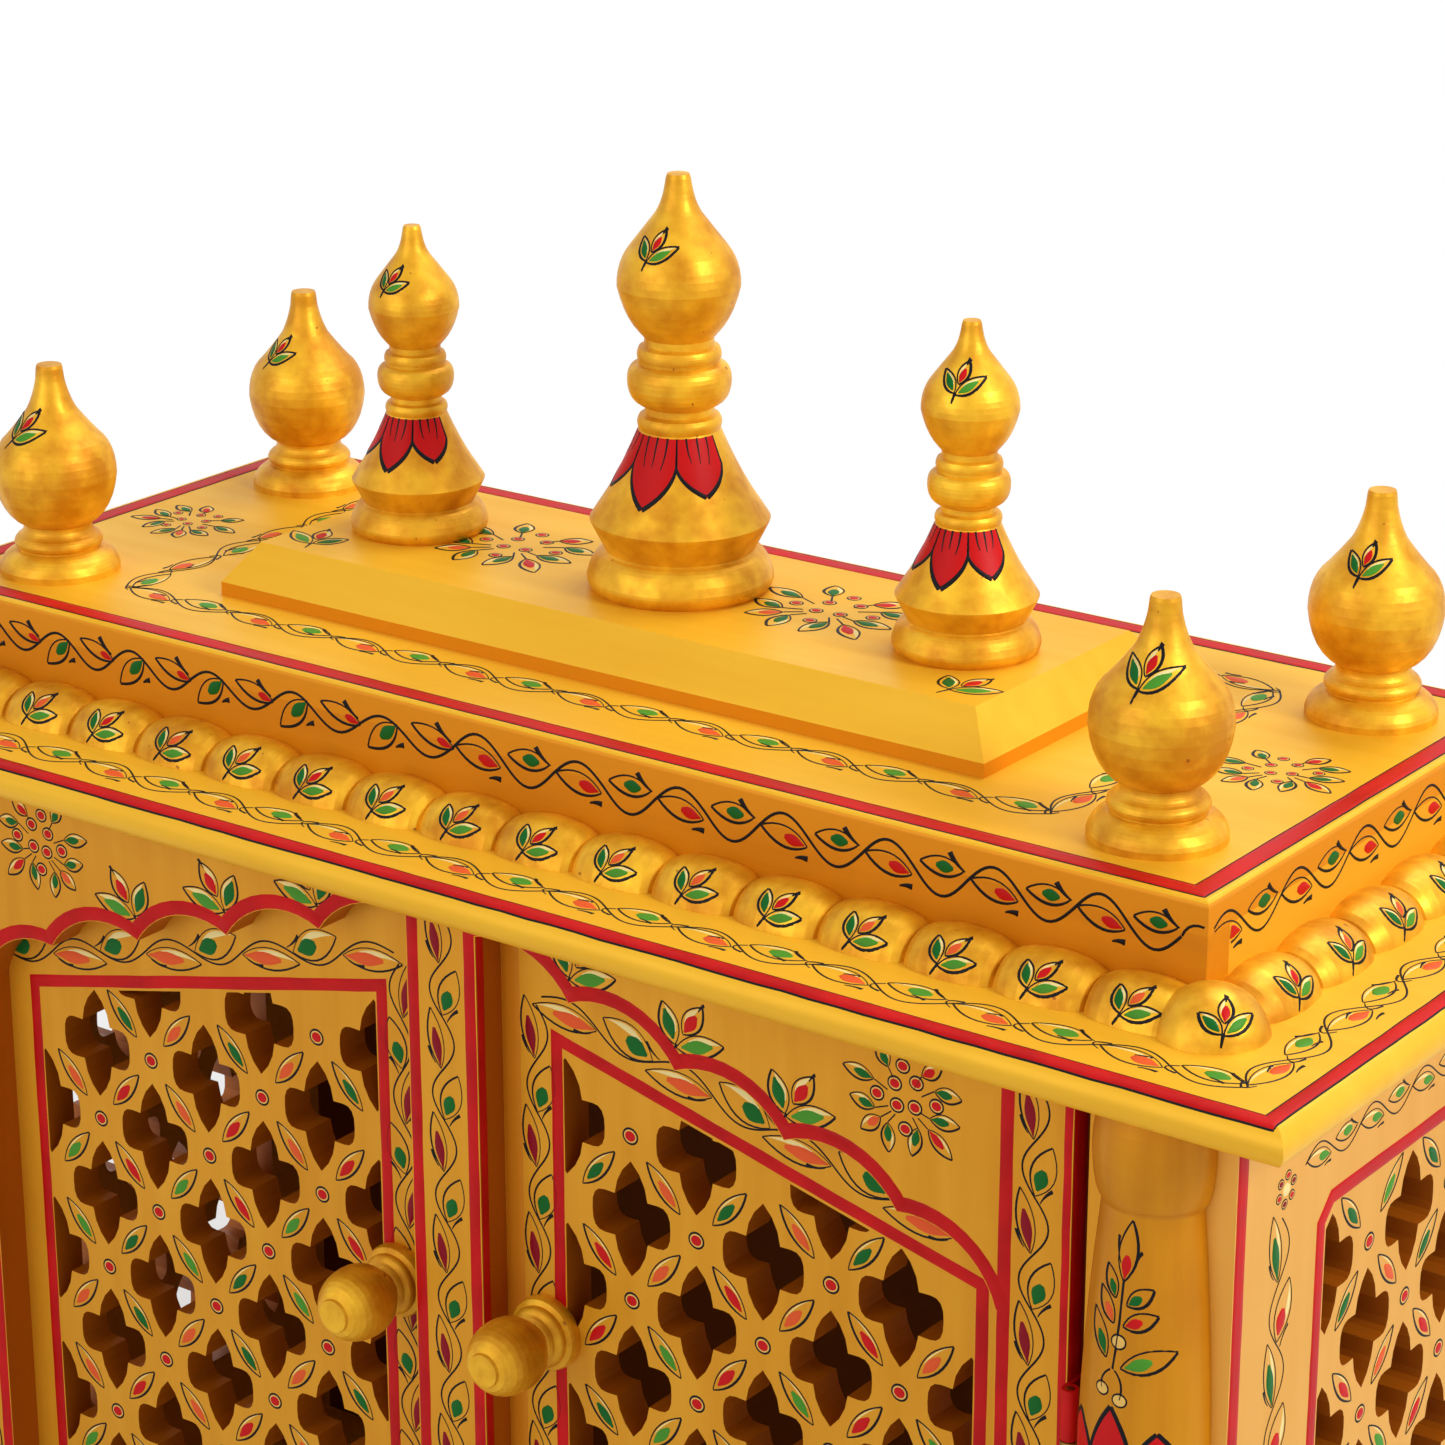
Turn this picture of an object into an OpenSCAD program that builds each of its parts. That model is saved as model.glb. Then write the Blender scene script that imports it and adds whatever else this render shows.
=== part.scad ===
// Pooja mandir: a painted wooden home shrine with two jaali doors under a roof of turned finials.
// Millimetres, +Z up, the doors face -Y, the origin lies under the middle of the plinth.

/* [Body] */
// Width over the two side boards
body_w = 550; // [520:1:600]
// Depth from the face of the doors to the back
body_d = 244; // [230:1:280]
// Height between base board and cornice
body_h = 364; // [340:1:420]
// Thickness of the boards
board_t = 12; // [9:0.5:15]
// How far base board and cornice stand out all round
overhang = 28; // [22:1:40]
// Height of the plinth under the base board
plinth_h = 34; // [20:1:60]

/* [Roof box] */
// Width of the box on the cornice
roof_w = 500; // [480:1:530]
// Depth of the box on the cornice
roof_d = 197; // [180:1:220]
// Height of the box on the cornice
roof_h = 34; // [28:1:50]
// Thickness of its top board
roof_t = 10; // [8:0.5:14]
// Rounding of its top edge
roof_edge_r = 2; // [1:0.5:4]

/* [Bead moulding] */
// Length of one bead
bead_pitch = 29; // [22:1:40]
// Radius of a bead at its middle
bead_r = 13.8; // [11:0.2:16]
// Radius of the waist between two beads
bead_waist_r = 9.2; // [8.5:0.1:10.8]
// Radius of the bead at each corner
bead_corner_r = 16.2; // [13:0.2:18]
// How far the axis of the beads lies in front of the box
bead_out = 5.4; // [3:0.2:8]
// How far the axis of the beads lies below the cornice top
bead_sink = 2.6; // [1:0.2:5]

/* [Raised base] */
// Width of the block under the tall finials
raised_w = 298; // [280:1:330]
// Depth of the block under the tall finials
raised_d = 106; // [90:1:130]
// Height of the block under the tall finials
raised_h = 17.5; // [10:0.5:24]
// Width of its sloped edge
raised_bevel = 9.5; // [4:0.5:16]
// Height of its upright edge
raised_edge = 4.5; // [4:0.5:9]

/* [Finials] */
// Height of the centre finial
centre_finial_h = 132.5; // [110:0.5:180]
// Foot diameter of the centre finial
centre_finial_d = 60; // [44:1:70]
// Height of the two side finials
side_finial_h = 102; // [80:1:140]
// Foot diameter of the two side finials
side_finial_d = 46; // [34:1:56]
// Distance of a side finial from the end of the raised base
side_finial_in = 41; // [36:1:54]
// Height of the corner finials
corner_finial_h = 70.5; // [50:0.5:90]
// Bulb diameter of the corner finials
corner_finial_d = 41; // [30:1:48]
// Distance of a corner finial from the ends of the box
corner_finial_x = 37; // [28:1:44]
// Distance of a corner finial from the front or back of the box
corner_finial_y = 35.5; // [28:0.5:44]

/* [Columns] */
// Largest diameter of a column
column_d = 39.2; // [28:0.2:40]
// Diameter of the shaft under its collar
column_neck_d = 30; // [22:0.5:32]
// Height of the collar at each end of a column
column_collar_h = 30; // [10:0.5:36]
// Distance of a column axis from the outside of the body
column_in = 24.2; // [22:0.2:25]
// Width of the post that carries a column, side board included
post_w = 45.8; // [42:0.2:54]
// Depth of the jamb behind a column
jamb_d = 28; // [20:1:40]

/* [Doors] */
// Gap round a door leaf that lets it swing
swing_gap = 5; // [4:0.5:8]
// Thickness of the frame pieces on the face of a leaf
frame_t = 12; // [9:0.5:15]
// Thickness of the jaali board of a leaf
jaali_t = 12; // [9:0.5:15]
// Width of the outer stiles
stile_w = 24; // [20:0.5:30]
// Width of the centre stile that covers the meeting of the leaves
centre_stile_w = 27.4; // [22:0.2:34]
// Gap between the centre stile and the left leaf
meeting_gap = 7.8; // [7:0.2:12]
// Height of the bottom rails
rail_h = 27; // [20:0.5:36]

/* [Scalloped arch] */
// Depth of the spandrel boards where the arch is highest
arch_crown = 9.6; // [8.5:0.1:16]
// Distance of the first cusp from the middle
cusp_start = 9.8; // [6:0.2:10]
// Distance between two cusps
cusp_pitch = 39.2; // [34:0.2:42]
// Fall from one cusp to the next
cusp_drop = 11.4; // [8:0.2:14]
// Rise of each arc over its chord
arc_rise = 7.6; // [4:0.2:9]
// Depth of the spandrel boards at the outer stiles
arch_spring = 76; // [72:0.5:90]

/* [Jaali] */
// Width of one lattice cell
cell_w = 49; // [44:0.5:54]
// Height of one lattice cell
cell_h = 55; // [50:0.5:60]
// Width of a hole over its side lobes
hole_w = 29.6; // [24:0.2:32]
// Height of a hole over its pointed lobes
hole_h = 38.5; // [32:0.5:40]
// Height of the side lobes
lobe_h = 14; // [9:0.2:15]
// Width of the pointed lobes
lobe_w = 12.4; // [7:0.2:13]
// Solid margin between the centre stile and the holes
door_margin_in = 23.6; // [20:0.2:30]
// Solid margin between an outer stile and the holes
door_margin_out = 14.5; // [10:0.5:20]
// Solid margin between a bottom rail and the holes
door_margin_low = 20; // [12:0.5:30]
// Distance from the top of a leaf to the holes beside the centre stile
door_holes_in = 44; // [38:0.5:52]
// Distance from the top of a leaf to the holes beside an outer stile
door_holes_out = 79.5; // [76:0.5:96]
// Distance from the top of a leaf to the first row of crossings
door_row_drop = 65; // [56:0.5:74]
// Width of the pierced field in a side board
side_field_w = 152; // [130:1:160]
// Margin between the front edge of a side board and its pierced field
side_margin_front = 52; // [44:1:56]
// Margin above and below the pierced field of a side board
side_margin_top = 49; // [40:1:60]
// Distance from the cornice to the first row of crossings in a side board
side_row_drop = 69.5; // [60:0.5:80]
// Cut corner of the pierced field of a side board
side_field_cut = 6; // [2:0.5:12]

/* [Knobs] */
// Diameter of the ball of a knob
knob_d = 24; // [18:0.5:26]
// Length of a knob
knob_len = 33; // [26:0.5:40]
// Distance of a knob from the edge of the centre stile
knob_in = 16.5; // [14:0.5:20]
// Distance of a knob below the top of its leaf
knob_drop = 140; // [120:0.5:170]

/* [Hinges] */
// Height of a hinge
hinge_h = 48; // [36:1:64]
// Distance from the end of a leaf to its hinge
hinge_end = 91; // [60:1:110]
// Diameter of the hinge knuckles
knuckle_d = 5; // [4:0.2:5.4]
// Diameter of the hinge pin
pin_d = 2.4; // [1.6:0.2:2.8]
// Thickness of the hinge plates
plate_t = 1.4; // [1:0.1:1.6]
// Running clearance in the hinges
hinge_fit = 0.2; // [0.1:0.05:0.3]

/* [Hidden] */
$fn = 64;
// Straight steps in one curved stretch of an outline
steps = 6;
// The same in the outline of one bead
bead_steps = 10;
// Gap that keeps two curved faces from biting into each other
hair = 0.2;
gold = "#d8981c";
ochre = "#c88a20";
paint_red = "#c4161c";
brass = "#b88a3c";

base_z = plinth_h;
body_z = base_z + board_t;
cornice_z = body_z + body_h;
box_z = cornice_z + board_t;
roof_z = box_z + roof_h;
raised_z = roof_z + raised_h;
face_y = -body_d / 2;
side_x = body_w / 2;
inner_x = side_x - board_t;
slab_w = body_w + 2 * overhang;
slab_d = body_d + 2 * overhang;

column_x = side_x - column_in;
jamb_x = side_x - post_w;
door_x = jamb_x - max(swing_gap, knuckle_d);
jaali_y = face_y + frame_t;
leaf_back_y = jaali_y + jaali_t;
leaf_z = body_z + swing_gap;
leaf_top = cornice_z - swing_gap;
leaf_h = leaf_top - leaf_z;
centre_x = centre_stile_w / 2;
stile_x = door_x - stile_w;
left_edge_x = centre_x + meeting_gap;

hinge_x = (door_x + jamb_x) / 2;
hinge_y = face_y - knuckle_d / 2 + hair;

// Points of a curve from p to q that is drawn towards the point c
function bend(p, c, q, n = steps) =
    [for (k = [1:n]) let (t = k / n) (1 - t) * (1 - t) * p + 2 * t * (1 - t) * c + t * t * q];

// Points of an arc from p to q that rises over its chord
function arc_over(p, q, rise) =
    let (chord = norm(q - p), r = (chord * chord / 4 + rise * rise) / (2 * rise))
    let (along = (q - p) / chord, up = [-along[1], along[0]], half = asin(chord / 2 / r))
    [for (k = [1:2 * steps]) let (a = -half + half * k / steps)
        (p + q) / 2 + along * r * sin(a) + up * (r * cos(a) - r + rise)];

function stretched(points, sx, sz) = [for (p = points) [p[0] * sx, p[1] * sz]];
function reversed(points) = [for (k = [len(points) - 1:-1:0]) points[k]];
function without_first(points) = [for (k = [1:len(points) - 1]) points[k]];
function without_last(points) = [for (k = [0:len(points) - 2]) points[k]];

module box_at(x0, x1, y0, y1, z0, z1) {
    translate([x0, y0, z0]) cube([x1 - x0, y1 - y0, z1 - z0]);
}

// Draws its children on the right, or mirrored on the left
module on_side(s) {
    if (s > 0) children();
    else mirror([1, 0, 0]) children();
}

// An upright board cut from an outline in X and Z, its back face at y
module front_board(y, t) {
    translate([0, y, 0]) rotate([90, 0, 0]) linear_extrude(t) children();
}

// Two outlines, one across X and one across Y, that meet in mitres at the corners
module mitred(w, d) {
    intersection() {
        rotate([90, 0, 0]) linear_extrude(d, center = true) children(0);
        rotate([90, 0, 90]) linear_extrude(w, center = true) children(1);
    }
}

// Cross section of a board with half round edges
module half_round(w, t) {
    translate([-w / 2 + t / 2, 0]) square([w - t, t]);
    for (s = [-1, 1]) translate([s * (w - t) / 2, t / 2]) circle(d = t);
}

// Cross section of a board with its two top edges rounded
module eased(w, t, r) {
    translate([-w / 2, 0]) square([w, t - r]);
    translate([-w / 2 + r, 0]) square([w - 2 * r, t]);
    for (s = [-1, 1]) translate([s * (w / 2 - r), t - r]) circle(r = r);
}

// Cross section of a block with an upright edge and a sloped one
module bevelled(w, h, edge, bevel) {
    polygon([[-w / 2, 0], [w / 2, 0], [w / 2, edge], [w / 2 - bevel, h],
        [-w / 2 + bevel, h], [-w / 2, edge]]);
}

module plinth_long(s) {
    color(gold) translate([0, s * (body_d - board_t) / 2, plinth_h / 2])
        cube([body_w, board_t, plinth_h], center = true);
}

module plinth_short(s) {
    color(gold) translate([s * (body_w - board_t) / 2, 0, plinth_h / 2])
        cube([board_t, body_d - 2 * board_t, plinth_h], center = true);
}

// Base board and cornice are the same bullnosed slab
module slab(z) {
    color(gold) translate([0, 0, z]) mitred(slab_w, slab_d) {
        half_round(slab_w, board_t);
        half_round(slab_d, board_t);
    }
}

module back_panel() {
    color(ochre) box_at(-inner_x, inner_x, -face_y - board_t, -face_y, body_z, cornice_z);
}

// One hole of the jaali: pointed lobes up and down, lobes with flat shoulders and round ends at the sides
hole_corner = [lobe_w / 2, lobe_h / 2];
hole_shoulder = [hole_w * 0.34, lobe_h * 0.51];
hole_tip = [0, hole_h / 2];
hole_end = [hole_w / 2, 0];
quarter_hole = concat([hole_tip], bend(hole_tip, [lobe_w * 0.45, hole_h * 0.37], hole_corner, 3),
    [hole_shoulder], without_last(bend(hole_shoulder, [hole_w * 0.51, lobe_h * 0.53], hole_end, 4)));
hole_outline = concat(quarter_hole, [hole_end], reversed(stretched(quarter_hole, 1, -1)),
    stretched(without_first(quarter_hole), -1, -1), [-hole_end],
    reversed(stretched(without_first(quarter_hole), -1, 1)));

// The holes round crossings at (cx, cz), cut off at the outline of the pierced field.
// The field's upper edge runs from height top_0 at x0 to height top_1 at x1.
module jaali_holes(x0, x1, low, top_0, top_1, cz, cut) {
    cx = (x0 + x1) / 2;
    cols = floor((x1 - x0) / cell_w + 0.3);
    rows = ceil((cz - low) * 2 / cell_h);
    reach = hole_h / 5;
    intersection() {
        polygon([[x0, low], [x1, low], [x1, top_1 - cut], [x1 - cut, top_1], [x0 + cut, top_0],
            [x0, top_0 - cut]]);
        for (i = [-cols:cols], j = [0:rows])
            if ((i + j) % 2 != 0) {
                x = cx + i * cell_w / 2;
                z = cz - j * cell_h / 2;
                edge = top_0 + (top_1 - top_0) * (x - x0) / (x1 - x0);
                if (z < edge + reach && z > low - reach) translate([x, z]) polygon(hole_outline);
            }
    }
}

module side_jaali(s) {
    y0 = face_y + side_margin_front;
    color(ochre) on_side(s) translate([inner_x, 0, 0]) rotate([90, 0, 90]) linear_extrude(board_t)
        difference() {
            translate([face_y, body_z]) square([body_d, body_h]);
            jaali_holes(y0, y0 + side_field_w, body_z + side_margin_top, cornice_z - side_margin_top,
                cornice_z - side_margin_top, cornice_z - side_row_drop, side_field_cut);
        }
}

// One half of a column, from its end to mid height: a bowl-shaped collar, a swelling shaft and a ring
half_column = let (r = column_d / 2, n = column_neck_d / 2, c = column_collar_h, m = body_h / 2)
    concat([[0, 0], [r * 0.8, 0]], bend([r * 0.8, 0], [r * 0.96, c * 0.4], [r * 0.905, c * 0.68]),
        bend([r * 0.905, c * 0.68], [r * 0.87, c * 0.94], [n * 1.03, c]), [[n, c + 1]],
        bend([n, c + 1], [r, m * 0.42], [r, m * 0.62]),
        bend([r, m * 0.62], [r, m * 0.75], [n * 0.9, m * 0.82]),
        bend([n * 0.9, m * 0.82], [n * 0.8, m * 0.87], [n * 0.9, m - 9]),
        bend([n * 0.9, m - 9], [n * 1.24, m - 4.5], [n * 0.9, m]));

// A turned column split along its axis, its flat back on the post
module column(s) {
    upper = [for (p = reversed(half_column)) [p[0], body_h - p[1]]];
    color(gold) translate([s * column_x, face_y, body_z]) intersection() {
        rotate_extrude() polygon(concat(half_column, without_first(upper)));
        box_at(-column_d, column_d, -column_d, 0, 0, body_h);
    }
}

module jamb(s) {
    color(ochre) on_side(s) box_at(jamb_x, inner_x, face_y, face_y + jamb_d, body_z, cornice_z);
}

module frieze_long(s) {
    color(gold) translate([0, s * (roof_d - board_t) / 2, box_z + (roof_h - roof_t) / 2])
        cube([roof_w, board_t, roof_h - roof_t], center = true);
}

module frieze_short(s) {
    color(gold) translate([s * (roof_w - board_t) / 2, 0, box_z + (roof_h - roof_t) / 2])
        cube([board_t, roof_d - 2 * board_t, roof_h - roof_t], center = true);
}

module roof_board() {
    color(gold) translate([0, 0, roof_z - roof_t]) mitred(roof_w, roof_d) {
        eased(roof_w, roof_t, roof_edge_r);
        eased(roof_d, roof_t, roof_edge_r);
    }
}

// A turned rod of whole beads, lying along X on the axis of the moulding
module bead_rod(len) {
    count = max(1, round(len / bead_pitch));
    pitch = len / count;
    outline = concat([[0, -len / 2], [bead_waist_r, -len / 2]],
        [for (k = [1:count]) each arc_bead(-len / 2 + (k - 1) * pitch, pitch)], [[0, len / 2]]);
    rotate([0, 90, 0]) rotate_extrude() polygon(outline);
}

// Outline of the bead that starts at z
function arc_bead(z, pitch) = let (swell = bead_r - bead_waist_r)
    [for (k = [1:bead_steps]) let (a = 180 * k / bead_steps)
        [bead_waist_r + swell * sin(a), z + pitch * (1 - cos(a)) / 2]];

// Beads along one side of the box, cut flat where they meet box and cornice
module bead_run(len, half_depth) {
    intersection() {
        translate([0, -half_depth - bead_out, box_z - bead_sink]) bead_rod(len);
        box_at(-len / 2, len / 2, -half_depth - 2 * bead_r, -half_depth, box_z, roof_z);
    }
}

module corner_ball(sx, sy, r) {
    translate([sx * (roof_w / 2 + bead_out), sy * (roof_d / 2 + bead_out), box_z - bead_sink]) sphere(r = r);
}

module corner_bead(sx) {
    difference() {
        intersection() {
            corner_ball(sx, -1, bead_corner_r);
            translate([0, 0, box_z]) cylinder(r = roof_w, h = roof_h);
        }
        translate([0, 0, box_z]) cube([roof_w, roof_d, 4 * roof_h], center = true);
    }
}

module long_beads(s) {
    color(gold) rotate([0, 0, s > 0 ? 0 : 180]) {
        bead_run(roof_w, roof_d / 2);
        for (sx = [-1, 1]) corner_bead(sx);
    }
}

// The beads at the ends of the box run up to the corner beads
module short_beads(s) {
    color(gold) difference() {
        rotate([0, 0, s * 90]) bead_run(roof_d + 2 * bead_out - 1.5 * bead_corner_r, roof_w / 2);
        for (sy = [-1, 1]) corner_ball(s, sy, bead_corner_r + hair);
    }
}

module raised_base() {
    color(gold) translate([0, 0, roof_z]) mitred(raised_w, raised_d) {
        bevelled(raised_w, raised_h, raised_edge, raised_bevel);
        bevelled(raised_d, raised_h, raised_edge, raised_bevel);
    }
}

// Turned outline of the tall finials, as shares of the foot radius and the height:
// a round foot, a bell with a flared rim and a collar, a bulge, a ring and a pointed bulb
tall_outline = concat([[0, 0], [0.93, 0]], bend([0.93, 0], [1.02, 0.02], [0.98, 0.042]),
    bend([0.98, 0.042], [0.93, 0.085], [0.82, 0.096]), [[0.8, 0.1], [0.945, 0.165], [0.955, 0.172]],
    bend([0.95, 0.178], [0.68, 0.255], [0.43, 0.392]), bend([0.43, 0.394], [0.465, 0.41], [0.42, 0.424]),
    [[0.365, 0.43], [0.365, 0.446]], bend([0.38, 0.449], [0.545, 0.46], [0.547, 0.51]),
    bend([0.547, 0.51], [0.547, 0.548], [0.43, 0.551]), bend([0.42, 0.553], [0.465, 0.571], [0.42, 0.589]),
    [[0.365, 0.594], [0.365, 0.612]], bend([0.365, 0.615], [0.56, 0.65], [0.645, 0.735]),
    bend([0.645, 0.735], [0.65, 0.79], [0.51, 0.83]), bend([0.51, 0.83], [0.39, 0.865], [0.27, 0.9]),
    bend([0.27, 0.9], [0.18, 0.925], [0.145, 0.97]), [[0.13, 0.99], [0.115, 1], [0, 1]]);

// Turned outline of the corner finials: a flared foot, a ring and a pointed bulb
corner_outline = concat([[0, 0], [0.98, 0], [0.98, 0.03]], bend([0.98, 0.03], [0.93, 0.09], [0.72, 0.112]),
    [[0.67, 0.116], [0.67, 0.122]], bend([0.67, 0.122], [0.77, 0.148], [0.66, 0.178]),
    bend([0.66, 0.178], [0.53, 0.2], [0.56, 0.235]), bend([0.56, 0.235], [0.93, 0.29], [1, 0.47]),
    bend([1, 0.47], [1, 0.6], [0.76, 0.66]), bend([0.76, 0.66], [0.56, 0.725], [0.4, 0.79]),
    bend([0.4, 0.79], [0.29, 0.85], [0.235, 0.93]), [[0.215, 0.985], [0.2, 1], [0, 1]]);

module turned(outline, d, h) {
    rotate_extrude() polygon(stretched(outline, d / 2, h));
}

side_finial_x = raised_w / 2 - side_finial_in;

module tall_finial(x, d, h) {
    color(gold) translate([x, 0, raised_z]) turned(tall_outline, d, h);
}

module corner_finial(sx, sy) {
    color(gold) translate([sx * (roof_w / 2 - corner_finial_x), sy * (roof_d / 2 - corner_finial_y), roof_z])
        turned(corner_outline, corner_finial_d, corner_finial_h);
}

// Frame pieces on the face of a leaf
module outer_stile(s) {
    color(ochre) on_side(s) box_at(stile_x, door_x, face_y, jaali_y, leaf_z, leaf_top);
}

module centre_stile() {
    color(ochre) box_at(-centre_x, centre_x, face_y, jaali_y, leaf_z, leaf_top);
}

module bottom_rail(s, x0) {
    color(ochre) on_side(s) box_at(x0, stile_x, face_y, jaali_y, leaf_z, leaf_z + rail_h);
}

// Lower edge of the spandrel boards: arcs that step down from cusp to cusp to the outer stile
cusp_count = floor((stile_x - cusp_start) / cusp_pitch - 0.2);
function cusp(k) = [cusp_start + k * cusp_pitch, leaf_top - arch_crown - k * cusp_drop];
scallops = concat([cusp(0)], [for (k = [1:cusp_count]) each arc_over(cusp(k - 1), cusp(k), arc_rise)],
    arc_over(cusp(cusp_count), [stile_x, leaf_top - arch_spring], arc_rise));

module arch_head(s, x0) {
    color(ochre) on_side(s) front_board(jaali_y, frame_t) intersection() {
        polygon(concat(scallops, [[stile_x, leaf_top], [cusp_start, leaf_top]]));
        translate([x0, leaf_z]) square([stile_x - x0, leaf_h]);
    }
}

module door_jaali(s, x0) {
    color(ochre) on_side(s) front_board(leaf_back_y, jaali_t) difference() {
        translate([x0, leaf_z]) square([door_x - x0, leaf_h]);
        jaali_holes(centre_x + door_margin_in, stile_x - door_margin_out, leaf_z + rail_h + door_margin_low,
            leaf_top - door_holes_in, leaf_top - door_holes_out, leaf_top - door_row_drop, 0);
    }
}

// Turned outline of a knob, as shares of the ball's radius and the length:
// a ringed foot, a neck and a ball with a flat front
knob_outline = concat([[0, 0], [1, 0]], bend([1, 0], [1.06, 0.06], [0.98, 0.12]), [[0.84, 0.14]],
    bend([0.84, 0.14], [0.9, 0.2], [0.7, 0.24]), bend([0.7, 0.24], [0.42, 0.27], [0.58, 0.33]),
    bend([0.58, 0.33], [1.0, 0.42], [1.0, 0.62]), bend([1.0, 0.62], [1.0, 0.84], [0.62, 0.95]),
    [[0.47, 0.97], [0.44, 1], [0, 1]]);

module knob(s) {
    color(gold) translate([s * (centre_x + knob_in), jaali_y, leaf_top - knob_drop]) rotate([90, 0, 0])
        turned(knob_outline, knob_d, knob_len);
}

// The two hinges of a leaf: end knuckles and plates turn with the door, middle knuckles and pins stay
hinge_heights = [leaf_top - hinge_end - hinge_h, leaf_z + hinge_end];
knuckle_h = hinge_h / 3;

module upright_rod(d, z, h) {
    translate([hinge_x, hinge_y, z]) cylinder(d = d, h = h);
}

module door_hinge(z) {
    difference() {
        union() {
            box_at(door_x, door_x + plate_t, hinge_y, leaf_back_y, z, z + hinge_h);
            for (k = [0, 2]) upright_rod(knuckle_d, z + k * knuckle_h, knuckle_h);
        }
        upright_rod(pin_d + 2 * hinge_fit, z - 1, hinge_h + 2);
        upright_rod(knuckle_d + 4 * hinge_fit, z + knuckle_h - hinge_fit, knuckle_h + 2 * hinge_fit);
    }
}

module jamb_hinge(z) {
    difference() {
        union() {
            box_at(jamb_x - plate_t, jamb_x, hinge_y, face_y + jamb_d - board_t, z, z + hinge_h);
            upright_rod(knuckle_d, z + knuckle_h, knuckle_h);
        }
        for (k = [0, 2])
            upright_rod(knuckle_d + 4 * hinge_fit, z + k * knuckle_h - hinge_fit, knuckle_h + 2 * hinge_fit);
    }
    upright_rod(pin_d, z, hinge_h);
}

module door_hinges(s) {
    color(paint_red) on_side(s) for (z = hinge_heights) door_hinge(z);
}

module jamb_hinges(s) {
    color(brass) on_side(s) for (z = hinge_heights) jamb_hinge(z);
}

plinth_long(-1);  // plinth_front
plinth_long(1);  // plinth_back
plinth_short(-1);  // plinth_left
plinth_short(1);  // plinth_right
slab(base_z);  // base_board
back_panel();
side_jaali(-1);  // left_side_jaali
side_jaali(1);  // right_side_jaali
column(-1);  // left_column
column(1);  // right_column
jamb(-1);  // left_jamb
jamb(1);  // right_jamb
slab(cornice_z);  // cornice_board
frieze_long(-1);  // frieze_front
frieze_long(1);  // frieze_back
frieze_short(-1);  // frieze_left
frieze_short(1);  // frieze_right
roof_board();
long_beads(1);  // front_beads
long_beads(-1);  // back_beads
short_beads(-1);  // left_beads
short_beads(1);  // right_beads
raised_base();
tall_finial(0, centre_finial_d, centre_finial_h);  // centre_finial
tall_finial(-side_finial_x, side_finial_d, side_finial_h);  // left_finial
tall_finial(side_finial_x, side_finial_d, side_finial_h);  // right_finial
corner_finial(-1, -1);  // front_left_finial
corner_finial(1, -1);  // front_right_finial
corner_finial(-1, 1);  // back_left_finial
corner_finial(1, 1);  // back_right_finial
outer_stile(1);  // right_outer_stile
centre_stile();
arch_head(1, centre_x);  // right_arch_head
bottom_rail(1, centre_x);  // right_bottom_rail
door_jaali(1, -centre_x);  // right_door_jaali
knob(1);  // right_knob
door_hinges(1);  // right_door_hinges
jamb_hinges(1);  // right_jamb_hinges
outer_stile(-1);  // left_outer_stile
arch_head(-1, left_edge_x);  // left_arch_head
bottom_rail(-1, left_edge_x);  // left_bottom_rail
door_jaali(-1, left_edge_x);  // left_door_jaali
knob(-1);  // left_knob
door_hinges(-1);  // left_door_hinges
jamb_hinges(-1);  // left_jamb_hinges
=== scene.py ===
"""Looks of the pooja mandir: gold paint on wood, with painted borders, vines, sprigs and petals."""

import math
import random

import bpy
from mathutils import Matrix, Vector
from mathutils.bvhtree import BVHTree


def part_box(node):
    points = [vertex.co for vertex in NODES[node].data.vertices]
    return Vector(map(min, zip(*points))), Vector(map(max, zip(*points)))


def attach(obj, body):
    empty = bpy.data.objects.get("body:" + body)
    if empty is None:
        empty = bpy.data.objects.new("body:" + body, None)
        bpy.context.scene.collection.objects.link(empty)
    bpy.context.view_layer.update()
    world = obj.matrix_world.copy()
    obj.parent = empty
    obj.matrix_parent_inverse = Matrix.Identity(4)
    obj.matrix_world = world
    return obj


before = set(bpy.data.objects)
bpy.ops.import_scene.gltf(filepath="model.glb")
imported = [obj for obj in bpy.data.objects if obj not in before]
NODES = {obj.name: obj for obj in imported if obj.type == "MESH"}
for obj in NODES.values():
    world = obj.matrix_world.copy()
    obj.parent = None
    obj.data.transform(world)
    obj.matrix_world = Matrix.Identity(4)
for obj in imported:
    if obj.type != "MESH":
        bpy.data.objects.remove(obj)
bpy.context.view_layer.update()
MM = 0.001
hand = random.Random(7)


# Sizes read from the frame, in millimetres
def corners_mm(node):
    low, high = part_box(node)
    return low / MM, high / MM


CORNICE = corners_mm("cornice_board")[1]
BASE = corners_mm("base_board")[1]
ROOF = corners_mm("roof_board")[1]
RAISED = corners_mm("raised_base")[1]
RAIL = corners_mm("right_bottom_rail")[1]
STILE_LOW, STILE = corners_mm("right_outer_stile")
CENTRE_LOW, CENTRE = corners_mm("centre_stile")
SIDE_LOW, SIDE = corners_mm("right_side_jaali")
PLINTH_LOW, PLINTH = corners_mm("plinth_front")
FACE_Y = STILE_LOW.y
JAALI_Y = corners_mm("right_door_jaali")[0].y
BODY_Z, CORNICE_Z = SIDE_LOW.z, SIDE.z
LEAF_Z, LEAF_TOP = STILE_LOW.z, STILE.z


# Colours, as linear values
def srgb(r, g, b):
    def one(c):
        c /= 255
        return c / 12.92 if c <= 0.04045 else ((c + 0.055) / 1.055) ** 2.4
    return (one(r), one(g), one(b), 1)


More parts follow.
